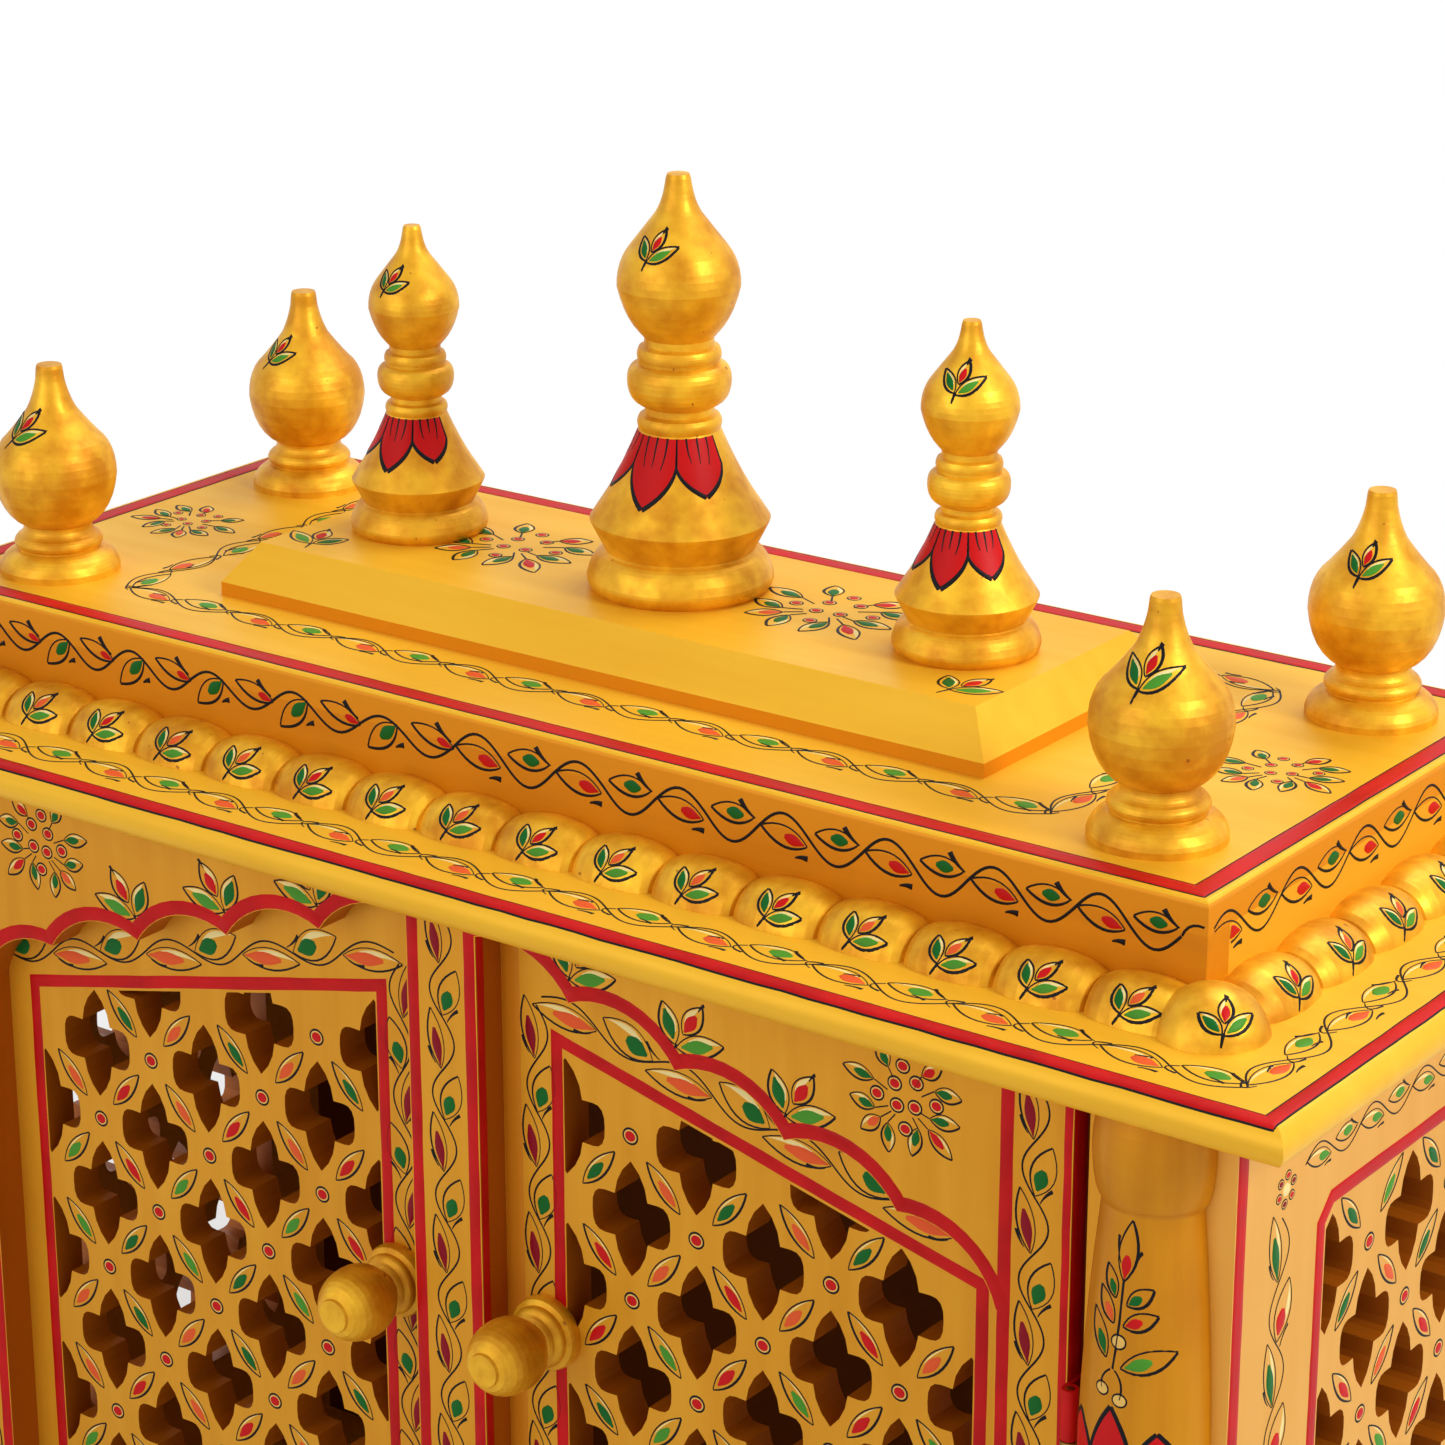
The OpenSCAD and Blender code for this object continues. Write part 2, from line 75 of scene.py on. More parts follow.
PAINTS = {
    "red": srgb(204, 20, 22),
    "wine": srgb(136, 10, 30),
    "ink": srgb(16, 13, 16),
    "green": srgb(16, 100, 36),
    "leaf": srgb(74, 146, 44),
    "orange": srgb(230, 92, 44),
    "cream": srgb(242, 222, 150),
    "straw": srgb(236, 190, 100),
    "ochre": srgb(206, 126, 22),
}
UMBER = srgb(150, 74, 8)
BORDER_LIGHT, BORDER_DEEP = srgb(208, 24, 24), srgb(184, 12, 16)
BRASS_LIGHT, BRASS_DEEP = srgb(190, 146, 74), srgb(150, 106, 48)


# Materials
class Nodes:
    """Adds nodes to a tree, one by one."""

    def __init__(self, tree):
        self.tree = tree

    def add(self, kind, inputs=None, **settings):
        new = self.tree.nodes.new("ShaderNode" + kind)
        for key, value in settings.items():
            setattr(new, key, value)
        for key, value in (inputs or {}).items():
            self.put(new.inputs[key], value)
        return new

    def put(self, socket, value):
        if isinstance(value, bpy.types.NodeSocket):
            self.tree.links.new(value, socket)
        else:
            socket.default_value = value

    def noise(self, place, scale, detail, stretch=(1, 1, 1)):
        mapped = self.add("Mapping", {"Vector": place, "Scale": stretch}).outputs[0]
        return self.add("TexNoise", {"Vector": mapped, "Scale": scale, "Detail": detail}).outputs["Fac"]

    def maths(self, operation, a, b):
        return self.add("Math", {0: a, 1: b}, operation=operation).outputs[0]

    def spread(self, value, low, high, to_low, to_high):
        inputs = {"Value": value, "From Min": low, "From Max": high, "To Min": to_low, "To Max": to_high}
        return self.add("MapRange", inputs).outputs[0]

    def mix(self, share, a, b):
        new = self.add("Mix", {"Factor": share}, data_type="RGBA")
        self.put(new.inputs[6], a)
        self.put(new.inputs[7], b)
        return new.outputs[2]

    def mix_shaders(self, share, a, b):
        return self.add("MixShader", {0: share, 1: a, 2: b}).outputs[0]


class Paint(Nodes):
    """A new material with its Principled shader."""

    def __init__(self, name, **values):
        self.material = bpy.data.materials.new(name)
        self.material.use_nodes = True
        super().__init__(self.material.node_tree)
        self.surface = self.tree.nodes["Principled BSDF"]
        for key, value in values.items():
            self.set(key.replace("_", " "), value)

    def set(self, socket, value):
        self.put(self.surface.inputs[socket], value)


def brushed_paint(name, colours, grain, metallic=0.22, rough=0.42, specular=0.2, edges=None, edge_axis=1,
                  edge_reach=1.0, edge_turn=0.6, two_sided=True, chips=0.0, bump=0.16, cloud=13.0,
                  soft=0.16):
    """Satin paint laid on with a brush: faint streaks, soft clouds, and where asked chips and darker edges,
    painted shade that on doors and side boards is partly a darker coat.
    Edges are the faces that turn away from the edge axis and lie within a reach of the middle of the depth.
    If not two sided, the side that looks down the edge axis counts as an edge too."""
    light, deep = colours
    paint = Paint(name, Metallic=metallic, Specular_IOR_Level=specular)
    place = paint.add("TexCoord")
    streaks = paint.noise(place.outputs["Object"], 1.0, 6.0, grain)
    clouds = paint.noise(place.outputs["Object"], cloud, 4.0)
    blend = paint.maths("ADD", paint.maths("MULTIPLY", streaks, 0.45), paint.maths("MULTIPLY", clouds, 0.55))
    colour = paint.mix(paint.spread(blend, 0.5 - soft, 0.5 + soft, 0.0, 1.0), deep, light)
    if chips:
        spots = paint.noise(place.outputs["Object"], 230.0, 2.0)
        colour = paint.mix(paint.spread(spots, 0.76 - chips, 0.79 - chips, 0.0, 0.8), colour, UMBER)
    # Edges take the darker colour: painted shade on faces that turn away from the edge axis
    if edges:
        facing = paint.add("SeparateXYZ", {0: place.outputs["Normal"]}).outputs[edge_axis]
        if two_sided:
            facing = paint.maths("ABSOLUTE", facing, 0.0)
        flat = paint.maths("GREATER_THAN", facing, edge_turn)
        depth = paint.add("SeparateXYZ", {0: place.outputs["Object"]}).outputs[1]
        outer = paint.maths("GREATER_THAN", paint.maths("ABSOLUTE", depth, 0.0), edge_reach)
        colour = paint.mix(paint.maths("MAXIMUM", flat, outer), edges, colour)
    paint.set("Base Color", colour)
    paint.set("Roughness", paint.spread(blend, 0.3, 0.7, rough + 0.07, rough - 0.06))
    relief = paint.add("Bump", {"Strength": bump, "Distance": 0.0003, "Height": streaks})
    paint.set("Normal", relief.outputs[0])
    return paint.material


def stroke_paint(name, colour):
    return Paint(name, Base_Color=colour, Roughness=0.45, Specular_IOR_Level=0.12).material


def border_paint():
    """Red border enamel, thin in places where the brush ran dry."""
    paint = Paint("border_red", Specular_IOR_Level=0.12)
    place = paint.add("TexCoord").outputs["Object"]
    clouds = paint.noise(place, 60.0, 4.0)
    share = paint.spread(clouds, 0.35, 0.7, 0.0, 1.0)
    paint.set("Base Color", paint.mix(share, BORDER_DEEP, BORDER_LIGHT))
    paint.set("Roughness", paint.spread(clouds, 0.3, 0.7, 0.36, 0.5))
    return paint.material


def brass():
    paint = Paint("brass", Metallic=1.0)
    place = paint.add("TexCoord").outputs["Object"]
    clouds = paint.noise(place, 300.0, 4.0)
    paint.set("Base Color", paint.mix(clouds, BRASS_DEEP, BRASS_LIGHT))
    paint.set("Roughness", paint.spread(clouds, 0.3, 0.7, 0.3, 0.45))
    return paint.material


STROKES = {name: stroke_paint("paint_" + name, colour) for name, colour in PAINTS.items()}
STROKES["border"] = border_paint()

ALONG_X, ALONG_Y, ALONG_Z, ALL_WAYS = (9, 120, 120), (120, 9, 120), (120, 120, 9), (140, 140, 140)
TOP_GOLD = srgb(246, 190, 48), srgb(236, 174, 32)
# Darker, more orange gold of the upright boards: partly their own orange coat, partly painted shade on
# upright faces
BOX_GOLD_AND_SHADE = srgb(228, 146, 16), srgb(212, 128, 6)
DOOR_GOLD = srgb(228, 162, 38), srgb(214, 144, 24)
# Side boards: their gold paint, made paler and less saturated by a painted sheen, as from the lamp on the
# right
SIDE_GOLD_AND_SHEEN = srgb(234, 172, 68), srgb(226, 160, 54)
TURNED_GOLD = srgb(244, 188, 40), srgb(204, 134, 8)
# A darker copy of the turned gold for the columns: painted shade under the cornice
SHADED_COLUMN_GOLD = srgb(214, 144, 18), srgb(184, 110, 6)
# A lighter copy of the box gold for both end friezes: painted light, as from the lamp on the right
LIT_END_GOLD = srgb(250, 184, 44), srgb(240, 168, 30)
# Brown on frame sides and lattice hole walls: partly a darker coat, partly painted shade in these recesses.
# Dark brown inside the back panel: painted shade inside the shrine.
EDGE_BROWN_AND_SHADE, INSIDE_SHADE = srgb(180, 96, 8), srgb(112, 58, 8)
BOARD_FIELD = 0.095

LOOKS = {look.name: look for look in (
    brushed_paint("top_gold", TOP_GOLD, ALONG_X),
    # Roof board and raised base: level faces in top gold, upright faces in the darker box gold as painted
    # shade
    brushed_paint("roof_gold", TOP_GOLD, ALONG_X, edges=BOX_GOLD_AND_SHADE[0], edge_axis=2),
    brushed_paint("raised_gold", TOP_GOLD, ALONG_X, edges=BOX_GOLD_AND_SHADE[0], edge_axis=2, edge_turn=0.25),
    # Plinth and long friezes: their orange coat, with painted shade on these upright faces
    brushed_paint("box_gold_and_shade", BOX_GOLD_AND_SHADE, ALONG_X),
    # End friezes: a lighter copy of the box gold, painted light
    brushed_paint("lit_end_gold", LIT_END_GOLD, ALONG_Y),
    # Door parts: front and back faces in door gold, their sides and hole walls in brown, a darker coat with
    # painted shade
    brushed_paint("door_gold", DOOR_GOLD, ALONG_Z, edges=EDGE_BROWN_AND_SHADE),
    # Side boards: paler gold with painted sheen; walls of the pierced field in brown, a darker coat with
    # painted shade
    brushed_paint("side_gold_and_sheen", SIDE_GOLD_AND_SHEEN, ALONG_Z, specular=0.4, edges=EDGE_BROWN_AND_SHADE, edge_axis=0,
                  edge_reach=BOARD_FIELD),
    # Back panel: outside face in door gold, inside face and edges in dark brown, painted shade inside the
    # shrine
    brushed_paint("back_gold", DOOR_GOLD, ALONG_Z, metallic=0.1, edges=INSIDE_SHADE,
                  two_sided=False),
    brushed_paint("turned_gold", TURNED_GOLD, ALL_WAYS, metallic=0.42, rough=0.43, specular=0.3,
                  chips=0.02, bump=0.9, cloud=38.0, soft=0.12),
    # Columns: a darker copy of the turned gold, painted shade
    brushed_paint("shaded_column_gold", SHADED_COLUMN_GOLD, ALONG_Z, metallic=0.3, rough=0.38),
    brass(),
    STROKES["border"],
)}
# Parts of node names under the look they take. The first look that matches counts.
LOOK_OF = {
    "brass": ("jamb_hinges",),
    "border_red": ("door_hinges",),
    "top_gold": ("base_board", "cornice_board"),
    "roof_gold": ("roof_board",),
    "raised_gold": ("raised_base",),
    "box_gold_and_shade": ("plinth", "frieze_front", "frieze_back"),
    "lit_end_gold": ("frieze_left", "frieze_right"),
    "turned_gold": ("beads", "finial", "knob"),
    "shaded_column_gold": ("column",),
    "side_gold_and_sheen": ("side_jaali",),
    "back_gold": ("back_panel",),
    "door_gold": ("jamb", "stile", "arch_head", "bottom_rail", "door_jaali"),
}
for node_name, piece in NODES.items():
    look = next(look for look, parts in LOOK_OF.items() if any(part in node_name for part in parts))
    piece.data.materials.clear()
    piece.data.materials.append(LOOKS[look])


# Surfaces to paint on. A place on a surface is a complex number in millimetres, real to the right and
# imaginary up.
REACH = 60.0


def tree_of(names):
    points, polygons = [], []
    for name in names:
        start = len(points)
        mesh = NODES[name].data
        points.extend(vertex.co / MM for vertex in mesh.vertices)
        polygons.extend([start + v for v in polygon.vertices] for polygon in mesh.polygons)
    return BVHTree.FromPolygons(points, polygons)


class Face:
    """A side of some nodes seen square on from outside, with paint landing on what is met first."""

    def __init__(self, names, origin, right, up, depth=9.0):
        self.tree = tree_of(names)
        self.origin, self.right, self.up = Vector(origin), Vector(right), Vector(up)
        self.out = self.right.cross(self.up)
        self.depth = depth

    def at(self, place, lift):
        start = self.origin + self.right * place.real + self.up * place.imag + self.out * REACH
        spot, normal, _, far = self.tree.ray_cast(start, -self.out)
        if spot is None or far > REACH + self.depth or normal.dot(self.out) < 0.1:
            return None
        return spot + normal * lift


class Turned:
    """The outside of a turned node. The real part of a place runs round it at the given radius, and the
    imaginary part is height."""

    def __init__(self, name, axis, facing, radius):
        self.tree = tree_of([name])
        self.axis, self.facing, self.radius = axis, facing, radius

    def at(self, place, lift):
        angle = self.facing + place.real / self.radius
        out = Vector((math.cos(angle), math.sin(angle), 0))
        start = Vector((self.axis[0], self.axis[1], place.imag)) + out * REACH
        spot, normal, _, _ = self.tree.ray_cast(start, -out)
        if spot is None or normal.dot(out) < 0.2:
            return None
        return spot + normal * lift


# Brushes and pens
SUNK = -0.03
RIM_W, LEVEL_W, THIN_W = 0.3, 2.5, 1.5
GROUND_LIFT, DAB_LIFT, INK_LIFT = 0.07, 0.12, 0.19


def places_across(wide):
    """Shares across a stroke: its two rims and a level top between them, in steps that follow a curve."""
    if wide < THIN_W:
        return [0, 0.5, 1]
    rim = RIM_W / wide
    count = math.ceil(wide / LEVEL_W)
    return [0] + [rim + (1 - 2 * rim) * k / count for k in range(count + 1)] + [1]


def blunt(edge):
    """The edge with a point more near either end, so that paint stays level up to there."""
    first, last = edge[1] - edge[0], edge[-2] - edge[-1]
    near = [step * min(0.4, RIM_W / max(abs(step), RIM_W)) for step in (first, last)]
    return [edge[0], edge[0] + near[0]] + edge[1:-1] + [edge[-1] + near[1], edge[-1]]


BRUSHES = []


class Brush:
    """Collects the strokes of one painted piece."""

    def __init__(self, name, slot="gold_painted_wood", body="cabinet"):
        self.name, self.body, self.slot = name, body, slot
        self.points, self.faces, self.colours = [], [], []
        BRUSHES.append(self)

    def fill(self, surface, left, right, colour, lift, closed=False, rim=SUNK):
        """Paint between two edges that run the same way: level on top, sunk at its rims and at open ends."""
        shares = places_across(max(abs(a - b) for a, b in zip(left, right)))
        if not closed:
            left, right = blunt(left), blunt(right)
        last = len(left) - 1
        rows = []
        for k, (a, b) in enumerate(zip(left, right)):
            open_end = not closed and k in (0, last)
            row = []
            for share in shares:
                sunk = open_end or share in (0, 1)
                row.append(surface.at(b + (a - b) * share, rim if sunk else lift))
            rows.append(None if None in row else len(self.points))
            if rows[-1] is not None:
                self.points.extend(row)
        if closed:
            rows.append(rows[0])
        for before, after in zip(rows, rows[1:]):
            if before is not None and after is not None:
                for n in range(len(shares) - 1):
                    self.faces.append((before + n, after + n, after + n + 1, before + n + 1))
                    self.colours.append(colour)

    def dry(self):
        """Turns the strokes into a piece."""
        mesh = bpy.data.meshes.new(self.name)
        mesh.from_pydata([point * MM for point in self.points], [], self.faces)
        used = [colour for colour in STROKES if colour in self.colours]
        for colour in used:
            mesh.materials.append(STROKES[colour])
        mesh.polygons.foreach_set("material_index", [used.index(colour) for colour in self.colours])
        mesh.polygons.foreach_set("use_smooth", [True] * len(self.faces))
        mesh.update()
        piece = bpy.data.objects.new(self.name, mesh)
        bpy.context.scene.collection.objects.link(piece)
        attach(piece, self.body)


def bend(start, pull, end, steps=9):
    """A curve from start to end drawn towards pull."""
    shares = [k / steps for k in range(steps + 1)]
    return [(1 - t) ** 2 * start + 2 * t * (1 - t) * pull + t * t * end for t in shares]


def beside(path, offset):
    """The path moved to its left."""
    moved = []
    for k, point in enumerate(path):
        way = path[min(k + 1, len(path) - 1)] - path[max(k - 1, 0)]
        moved.append(point + 1j * way / abs(way) * offset)
    return moved


class Pen:
    """Paints on a surface from its own place, in its own direction, with its own hand."""

    def __init__(self, brush, surface, place=0j, way=1 + 0j, flip=False):
        self.brush, self.surface = brush, surface
        self.place, self.way, self.flip = complex(place), complex(way), flip

    def put(self, z):
        return self.place + self.way * (z.conjugate() if self.flip else z)

    def moved(self, place, way=1, flip=False):
        way = complex(way)
        return Pen(self.brush, self.surface, self.put(complex(place)),
                   self.way * (way.conjugate() if self.flip else way), self.flip != flip)

    def fill(self, left, right, colour, lift=DAB_LIFT, closed=False, rim=SUNK):
        edges = [[self.put(z) for z in left], [self.put(z) for z in right]]
        if self.flip:
            edges.reverse()
        self.brush.fill(self.surface, edges[0], edges[1], colour, lift, closed, rim)

    def line(self, path, wide, colour="ink", lift=INK_LIFT, taper=(1.0, 1.0), swell=0.0, closed=False,
             rim=SUNK):
        """A stroke along a path. Taper is the share of its width at either end, swell is added halfway."""
        last = len(path) - 1
        left, right = [], []
        for k, point in enumerate(path):
            ahead = path[(k + 1) % len(path) if closed else min(k + 1, last)]
            way = ahead - path[k - 1 if closed else max(k - 1, 0)]
            t = k / last
            share = taper[0] + (taper[1] - taper[0]) * t + swell * math.sin(math.pi * t)
            half = 1j * way / abs(way) * wide * share / 2 / abs(self.way)
            left.append(point + half)
            right.append(point - half)
        self.fill(left, right, colour, lift, closed, rim)

    def dot(self, centre, radius, colour, lift=DAB_LIFT):
        arc = [radius * complex(-math.cos(a), math.sin(a)) for a in (math.pi * k / 8 for k in range(9))]
        self.fill([centre + z for z in arc], [centre + z.conjugate() for z in arc], colour, lift)


# Motifs
INK_W = 0.62
LEAF_ROWS, DAB_ROWS = 9, 7
DAB_W = 0.66
# Where along a leaf and how near its upper edge its pale cream streak lies: a painted highlight
HIGHLIGHT_FROM, HIGHLIGHT_TO, HIGHLIGHT_EDGE = 0.3, 0.92, 0.86


def leaf(pen, base, tip, wide, dab=None, reach=(0.08, 0.62), highlight=0.0, ink=INK_W):
    """An almond leaf: a black outline, bolder below, with a dab of colour and, where asked, a painted
    highlight: a pale streak near its upper edge.
    """
    along = tip - base
    up = 1 if along.real >= 0 else -1

    def place(t, share):
        """Place at a share of the length, and from the lower edge (-1) to the upper edge (1)."""
        middle = along * (0.9 * t * (1 - t) + t * t)
        aside = 2j * t * (1 - t) * up * share * wide * along / abs(along)
        return base + middle + aside

    def patch(start, end, below, above, colour, lift):
        """Paint along a part of the leaf, round at both ends."""
        shares = [k / DAB_ROWS for k in range(DAB_ROWS + 1)]
        middle, half = (above + below) / 2, (above - below) / 2
        rows = [(start + (end - start) * s, half * max(0.12, math.sin(math.pi * s)) ** 0.6) for s in shares]
        edges = [[place(t, middle + way * h) for t, h in rows] for way in (up, -up)]
        pen.fill(edges[0], edges[1], colour, lift)

    # Painted highlight: a cream streak near the upper edge
    if highlight:
        patch(HIGHLIGHT_FROM, HIGHLIGHT_TO, HIGHLIGHT_EDGE - highlight, HIGHLIGHT_EDGE, "cream", GROUND_LIFT)
    if dab:
        patch(reach[0], reach[1], -DAB_W, DAB_W, dab, DAB_LIFT)
    steps = [k / LEAF_ROWS for k in range(LEAF_ROWS + 1)]
    pen.line([place(t, 1) for t in steps], ink, taper=(0.6, 0.8))
    pen.line([place(t, -1) for t in steps], ink, taper=(0.7, 1.1), swell=0.35)


def comma(pen, start, end, wide):
    """A short dark stroke, bold where it starts."""
    pen.line(bend(start, (start + end) / 2 - 0.14j * (end - start), end, 5), wide, taper=(1.15, 0.3))


# What grows in one bend of a vine, over it and under it in turn: base and tip of the leaf, its width as a
# share of the bend, where its dab lies, and the mark beside it. Places run along the bend and, in swings,
# towards its bulge.
LOOSE = ((0.83 + 0.65j, 0.17 - 1.6j, 0.40, (0.05, 0.6), 0.97 - 0.8j, 0.78 - 1.1j),
         (1.03 + 0.07j, 0.13 - 0.95j, 0.30, (0.05, 0.42), 0.66 - 1.4j, 0.98 - 0.35j))
EVEN = ((0.96 - 0.40j, 0.06 + 0.16j, 0.35, (0.07, 0.52), 0.97 - 1.0j, 0.72 - 1.08j),
        (0.93 - 0.35j, 0.10 - 0.40j, 0.33, (0.25, 0.66), 0.66 - 1.1j, 0.96 - 0.35j))
CLIMBING = ((1.00 - 0.20j, -0.12 - 1.05j, 0.34, (0.04, 0.7), 0.62 - 1.25j, 0.92 - 0.65j),
            (0.97 + 0.0j, 0.05 - 1.25j, 0.46, (0.12, 0.55), 0.80 - 1.35j, 1.08 - 0.4j))


def vine(pen, length, first, last, swing, habit, colours, ink=INK_W, highlight=0.0, curls=False):
    """A wavy stem whose bends grow from first to last, each with a leaf, a mark and a curl where asked."""
    count = 2 * max(1, round(length / (first + last)))
    widths = [first + (last - first) * (k + 0.5) / count for k in range(count)]
    scale = length / sum(widths)
    stem = []
    x = 0.0
    for k, width in enumerate(widths):
        half = width * scale
        lift = swing * hand.uniform(0.92, 1.08) * (1 if k % 2 == 0 else -1)
        stem.extend(complex(x + half * n / 12, lift * math.sin(math.pi * n / 12)) for n in range(12))
        base, tip, wide, reach, mark, mark_end = habit[k % 2]
        spots = [complex(x + half * spot.real, lift * spot.imag) for spot in (base, tip, mark, mark_end)]
        leaf(pen, spots[0], spots[1], half * wide, colours[k % 2], reach, highlight, ink)
        comma(pen, spots[2], spots[3], ink * 1.9)
        if curls:
            hook = bend(complex(x + 0.16 * half, 0.62 * lift), complex(x - 0.2 * half, 0.36 * lift),
                        complex(x + 0.1 * half, -0.3 * lift), 5)
            pen.line(hook, ink * 1.2, taper=(1.3, 0.5))
            comma(pen, complex(x + 0.74 * half, 0.3 * lift), complex(x + 0.52 * half, 0.1 * lift), ink * 1.7)
        x += half
    stem.append(complex(length, 0))
    pen.line(stem, ink * 1.15)


def vines(pen, rows, ink):
    """Vines by rows of start, direction, length, width of a bend, swing, habit, colours and highlight share.
    """
    for start, way, length, width, swing, habit, colours, highlight in rows:
        vine(pen.moved(start, way), length, width, width, swing, habit, colours, ink, highlight)


def sprig(pen, bud="red", ink=INK_W, stem=3.4):
    """Two leaves and a bud on a short stem, about 16 mm wide at a pen of size one."""
    stalk = bend(complex(-0.32 * stem, -stem), complex(-0.14 * stem, -0.45 * stem), 0.2 + 0.4j, 4)
    pen.line(stalk, 1.2 * ink, taper=(0.7, 1.3))
    leaf(pen, 0.1 - 0.3j, 10 + 5j, 4.4, "leaf", (0.12, 0.78), 0.7, ink)
    leaf(pen, -0.2 + 0.1j, -5 + 7.2j, 4.4, "green", (0.14, 0.84), 0.7, ink)
    leaf(pen, 0.9 + 2.9j, 3.7 + 10.2j, 4.2, bud, (0.08, 0.7), 0.7, ink)
    comma(pen, 4 + 10.8j, 3 + 8.8j, 1.6 * ink)


CLUSTER_LEAVES = (
    (-11 + 5j, -22 + 7j, "green"), (-10.5 - 4j, -19.5 - 2j, "green"), (-8.5 - 6.5j, -15.5 - 12j, "orange"),
    (-6 - 7.5j, -5.5 - 17j, "green"), (4.5 - 6.5j, 2.5 - 16j, "green"), (8 - 6j, 16.5 - 13.5j, "red"),
    (8.5 - 2.5j, 19 - 2.5j, "green"), (10 + 6.5j, 19.5 + 6j, "green"), (5.5 + 10j, 12.5 + 14.5j, "red"),
    (-6 + 10j, -10 + 17j, "green"),
)
CLUSTER_BERRIES = (-3.7 + 5.5j, 3.8 + 7.4j, -9.8 + 0.8j, -2.8 - 1.2j, 3.4 - 0.4j, 10.8 + 2j, 0.2 - 8j,
                   -1 + 11.6j)


def berry(pen, place, radius, middle="red"):
    """A ringed dot: black, then straw, then its middle."""
    pen.dot(place, radius, "ink", GROUND_LIFT)
    pen.dot(place, radius * 0.8, "straw", 0.1)
    if middle:
        pen.dot(place, radius * 0.64, middle, 0.14)


def cluster(pen, ink=INK_W, size=2.6):
    """A round bunch of berries with leaves outside it, about 42 mm wide at a pen of size one."""
    for base, tip, colour in CLUSTER_LEAVES:
        pen.line([base * 0.55, base * 0.8, base], 0.8 * ink)
        leaf(pen, base, tip, 4.8, colour, (0.05, 0.66), 0.5, ink)
    for place in CLUSTER_BERRIES:
        berry(pen, place, size)


def blossom(pen):
    """A small ring of dots round a pale one."""
    for k in range(6):
        berry(pen, turn(60 * k + 20, 4.2), 1.7, "red" if k % 2 else "wine")
    pen.dot(0j, 2.0, "cream")


WOBBLE = 0.12
BORDER_STEP, CORNER_STEPS = 9.0, (0.7, 1.5, 2.5, 4.0)
BORDER_INK = 0.9


def mitred(corners, offset, closed):
    """Corners of a line moved to its left."""
    moved = []
    last = len(corners) - 1
    for k, corner in enumerate(corners):
        way_in = corner - corners[k - 1] if closed or k else corners[1] - corner
        way_out = corners[(k + 1) % len(corners)] - corner if closed or k < last else way_in
        middle = way_in / abs(way_in) + way_out / abs(way_out)
        moved.append(corner + 2j * middle / abs(middle) ** 2 * offset)
    return moved


def border(pen, corners, wide, closed=True, inked=False, colour="border"):
    """A hand-drawn line through corners, mitred, with thin black edges where asked."""
    sides = [mitred(corners, wide / 2, closed), mitred(corners, -wide / 2, closed)]
    edges = [[], []]
    for k in range(len(corners) if closed else len(corners) - 1):
        after = (k + 1) % len(corners)
        length = abs(corners[after] - corners[k])
        across = 1j * (corners[after] - corners[k]) / length
        steps = max(2, round(length / BORDER_STEP))
        shares = [n / steps for n in range(steps)]
        if inked:
            shares += [step / length for step in CORNER_STEPS] + [1 - step / length for step in CORNER_STEPS]
        for side, edge in zip(sides, edges):
            for share in sorted(shares):
                free = BORDER_STEP / 2 < share * length < length - BORDER_STEP / 2
                drift = hand.uniform(-WOBBLE, WOBBLE) if free else 0
                edge.append(side[k] + (side[after] - side[k]) * share + across * drift)
    if not closed:
        for side, edge in zip(sides, edges):
            edge.append(side[-1])
    pen.fill(edges[0], edges[1], colour, DAB_LIFT, closed)
    if inked:
        for edge in edges:
            pen.line(edge, BORDER_INK, closed=closed)


def rectangle(half_w, half_d, middle=0j):
    return [middle + complex(x * half_w, y * half_d) for x, y in ((-1, -1), (1, -1), (1, 1), (-1, 1))]


def round_sides(pen, half_w, half_d):
    """Pens that run along the four sides of a rectangle, front, right, back and left, with their lengths."""
    corners = rectangle(half_w, half_d)
    for corner, after in zip(corners, corners[1:] + corners[:1]):
        run = after - corner
        yield pen.moved(corner, run / abs(run)), abs(run)


def mirrored(pen):
    return pen.moved(0, -1, True)


def handed(brush, surface, right):
    """A pen for the right side of the object, or its mirror image for the left side."""
    pen = Pen(brush, surface)
    return pen if right else mirrored(pen)


def turn(degrees, size=1.0):
    """A direction for a pen, with its size."""
    return size * complex(math.cos(math.radians(degrees)), math.sin(math.radians(degrees)))


# Roof box and cornice
OUTWARDS = {"front": (0, -1), "right": (1, 0), "back": (0, 1), "left": (-1, 0)}
ROOF_LINE_W, ROOF_LINE_IN = 6.4, (6.3, 5.9)
SLAB_LINE_W, SLAB_LINE_IN = 4.8, (7.0, 5.0)
SLAB_INK, SLAB_BEND, SLAB_HIGHLIGHT = 0.68, 22.5, 0.34
ROOF_VINE_HALF, ROOF_SWING = (180, 66), 5.0
ROOF_CLUSTER_AT, ROOF_CLUSTER_TILT, ROOF_CLUSTER_INK, ROOF_BERRY_R = 216 + 2j, 20, 0.9, 1.9
RAISED_CLUSTERS_AT, RAISED_CLUSTER_SIZE = (-68 + 1j, 54 + 5j), 1.35
RAISED_CLUSTER_INK, RAISED_BERRY_R = 1.0, 1.8
RAISED_SPRIG_AT, RAISED_SPRIG_SIZE, RAISED_SPRIG_INK = 125 - 35j, 1.45, 0.8


def top_face(names, z):
    return Face(names, (0, 0, z), (1, 0, 0), (0, 1, 0))


def side_faces(names, half_w, half_d):
    """Upright faces in the order front, right, back, left, with half their width."""
    for boards, (x, y) in zip(names, OUTWARDS.values()):
        face = Face(boards, (x * half_w, y * half_d, 0), (-y, x, 0), (0, 0, 1))
        yield face, half_d if x else half_w


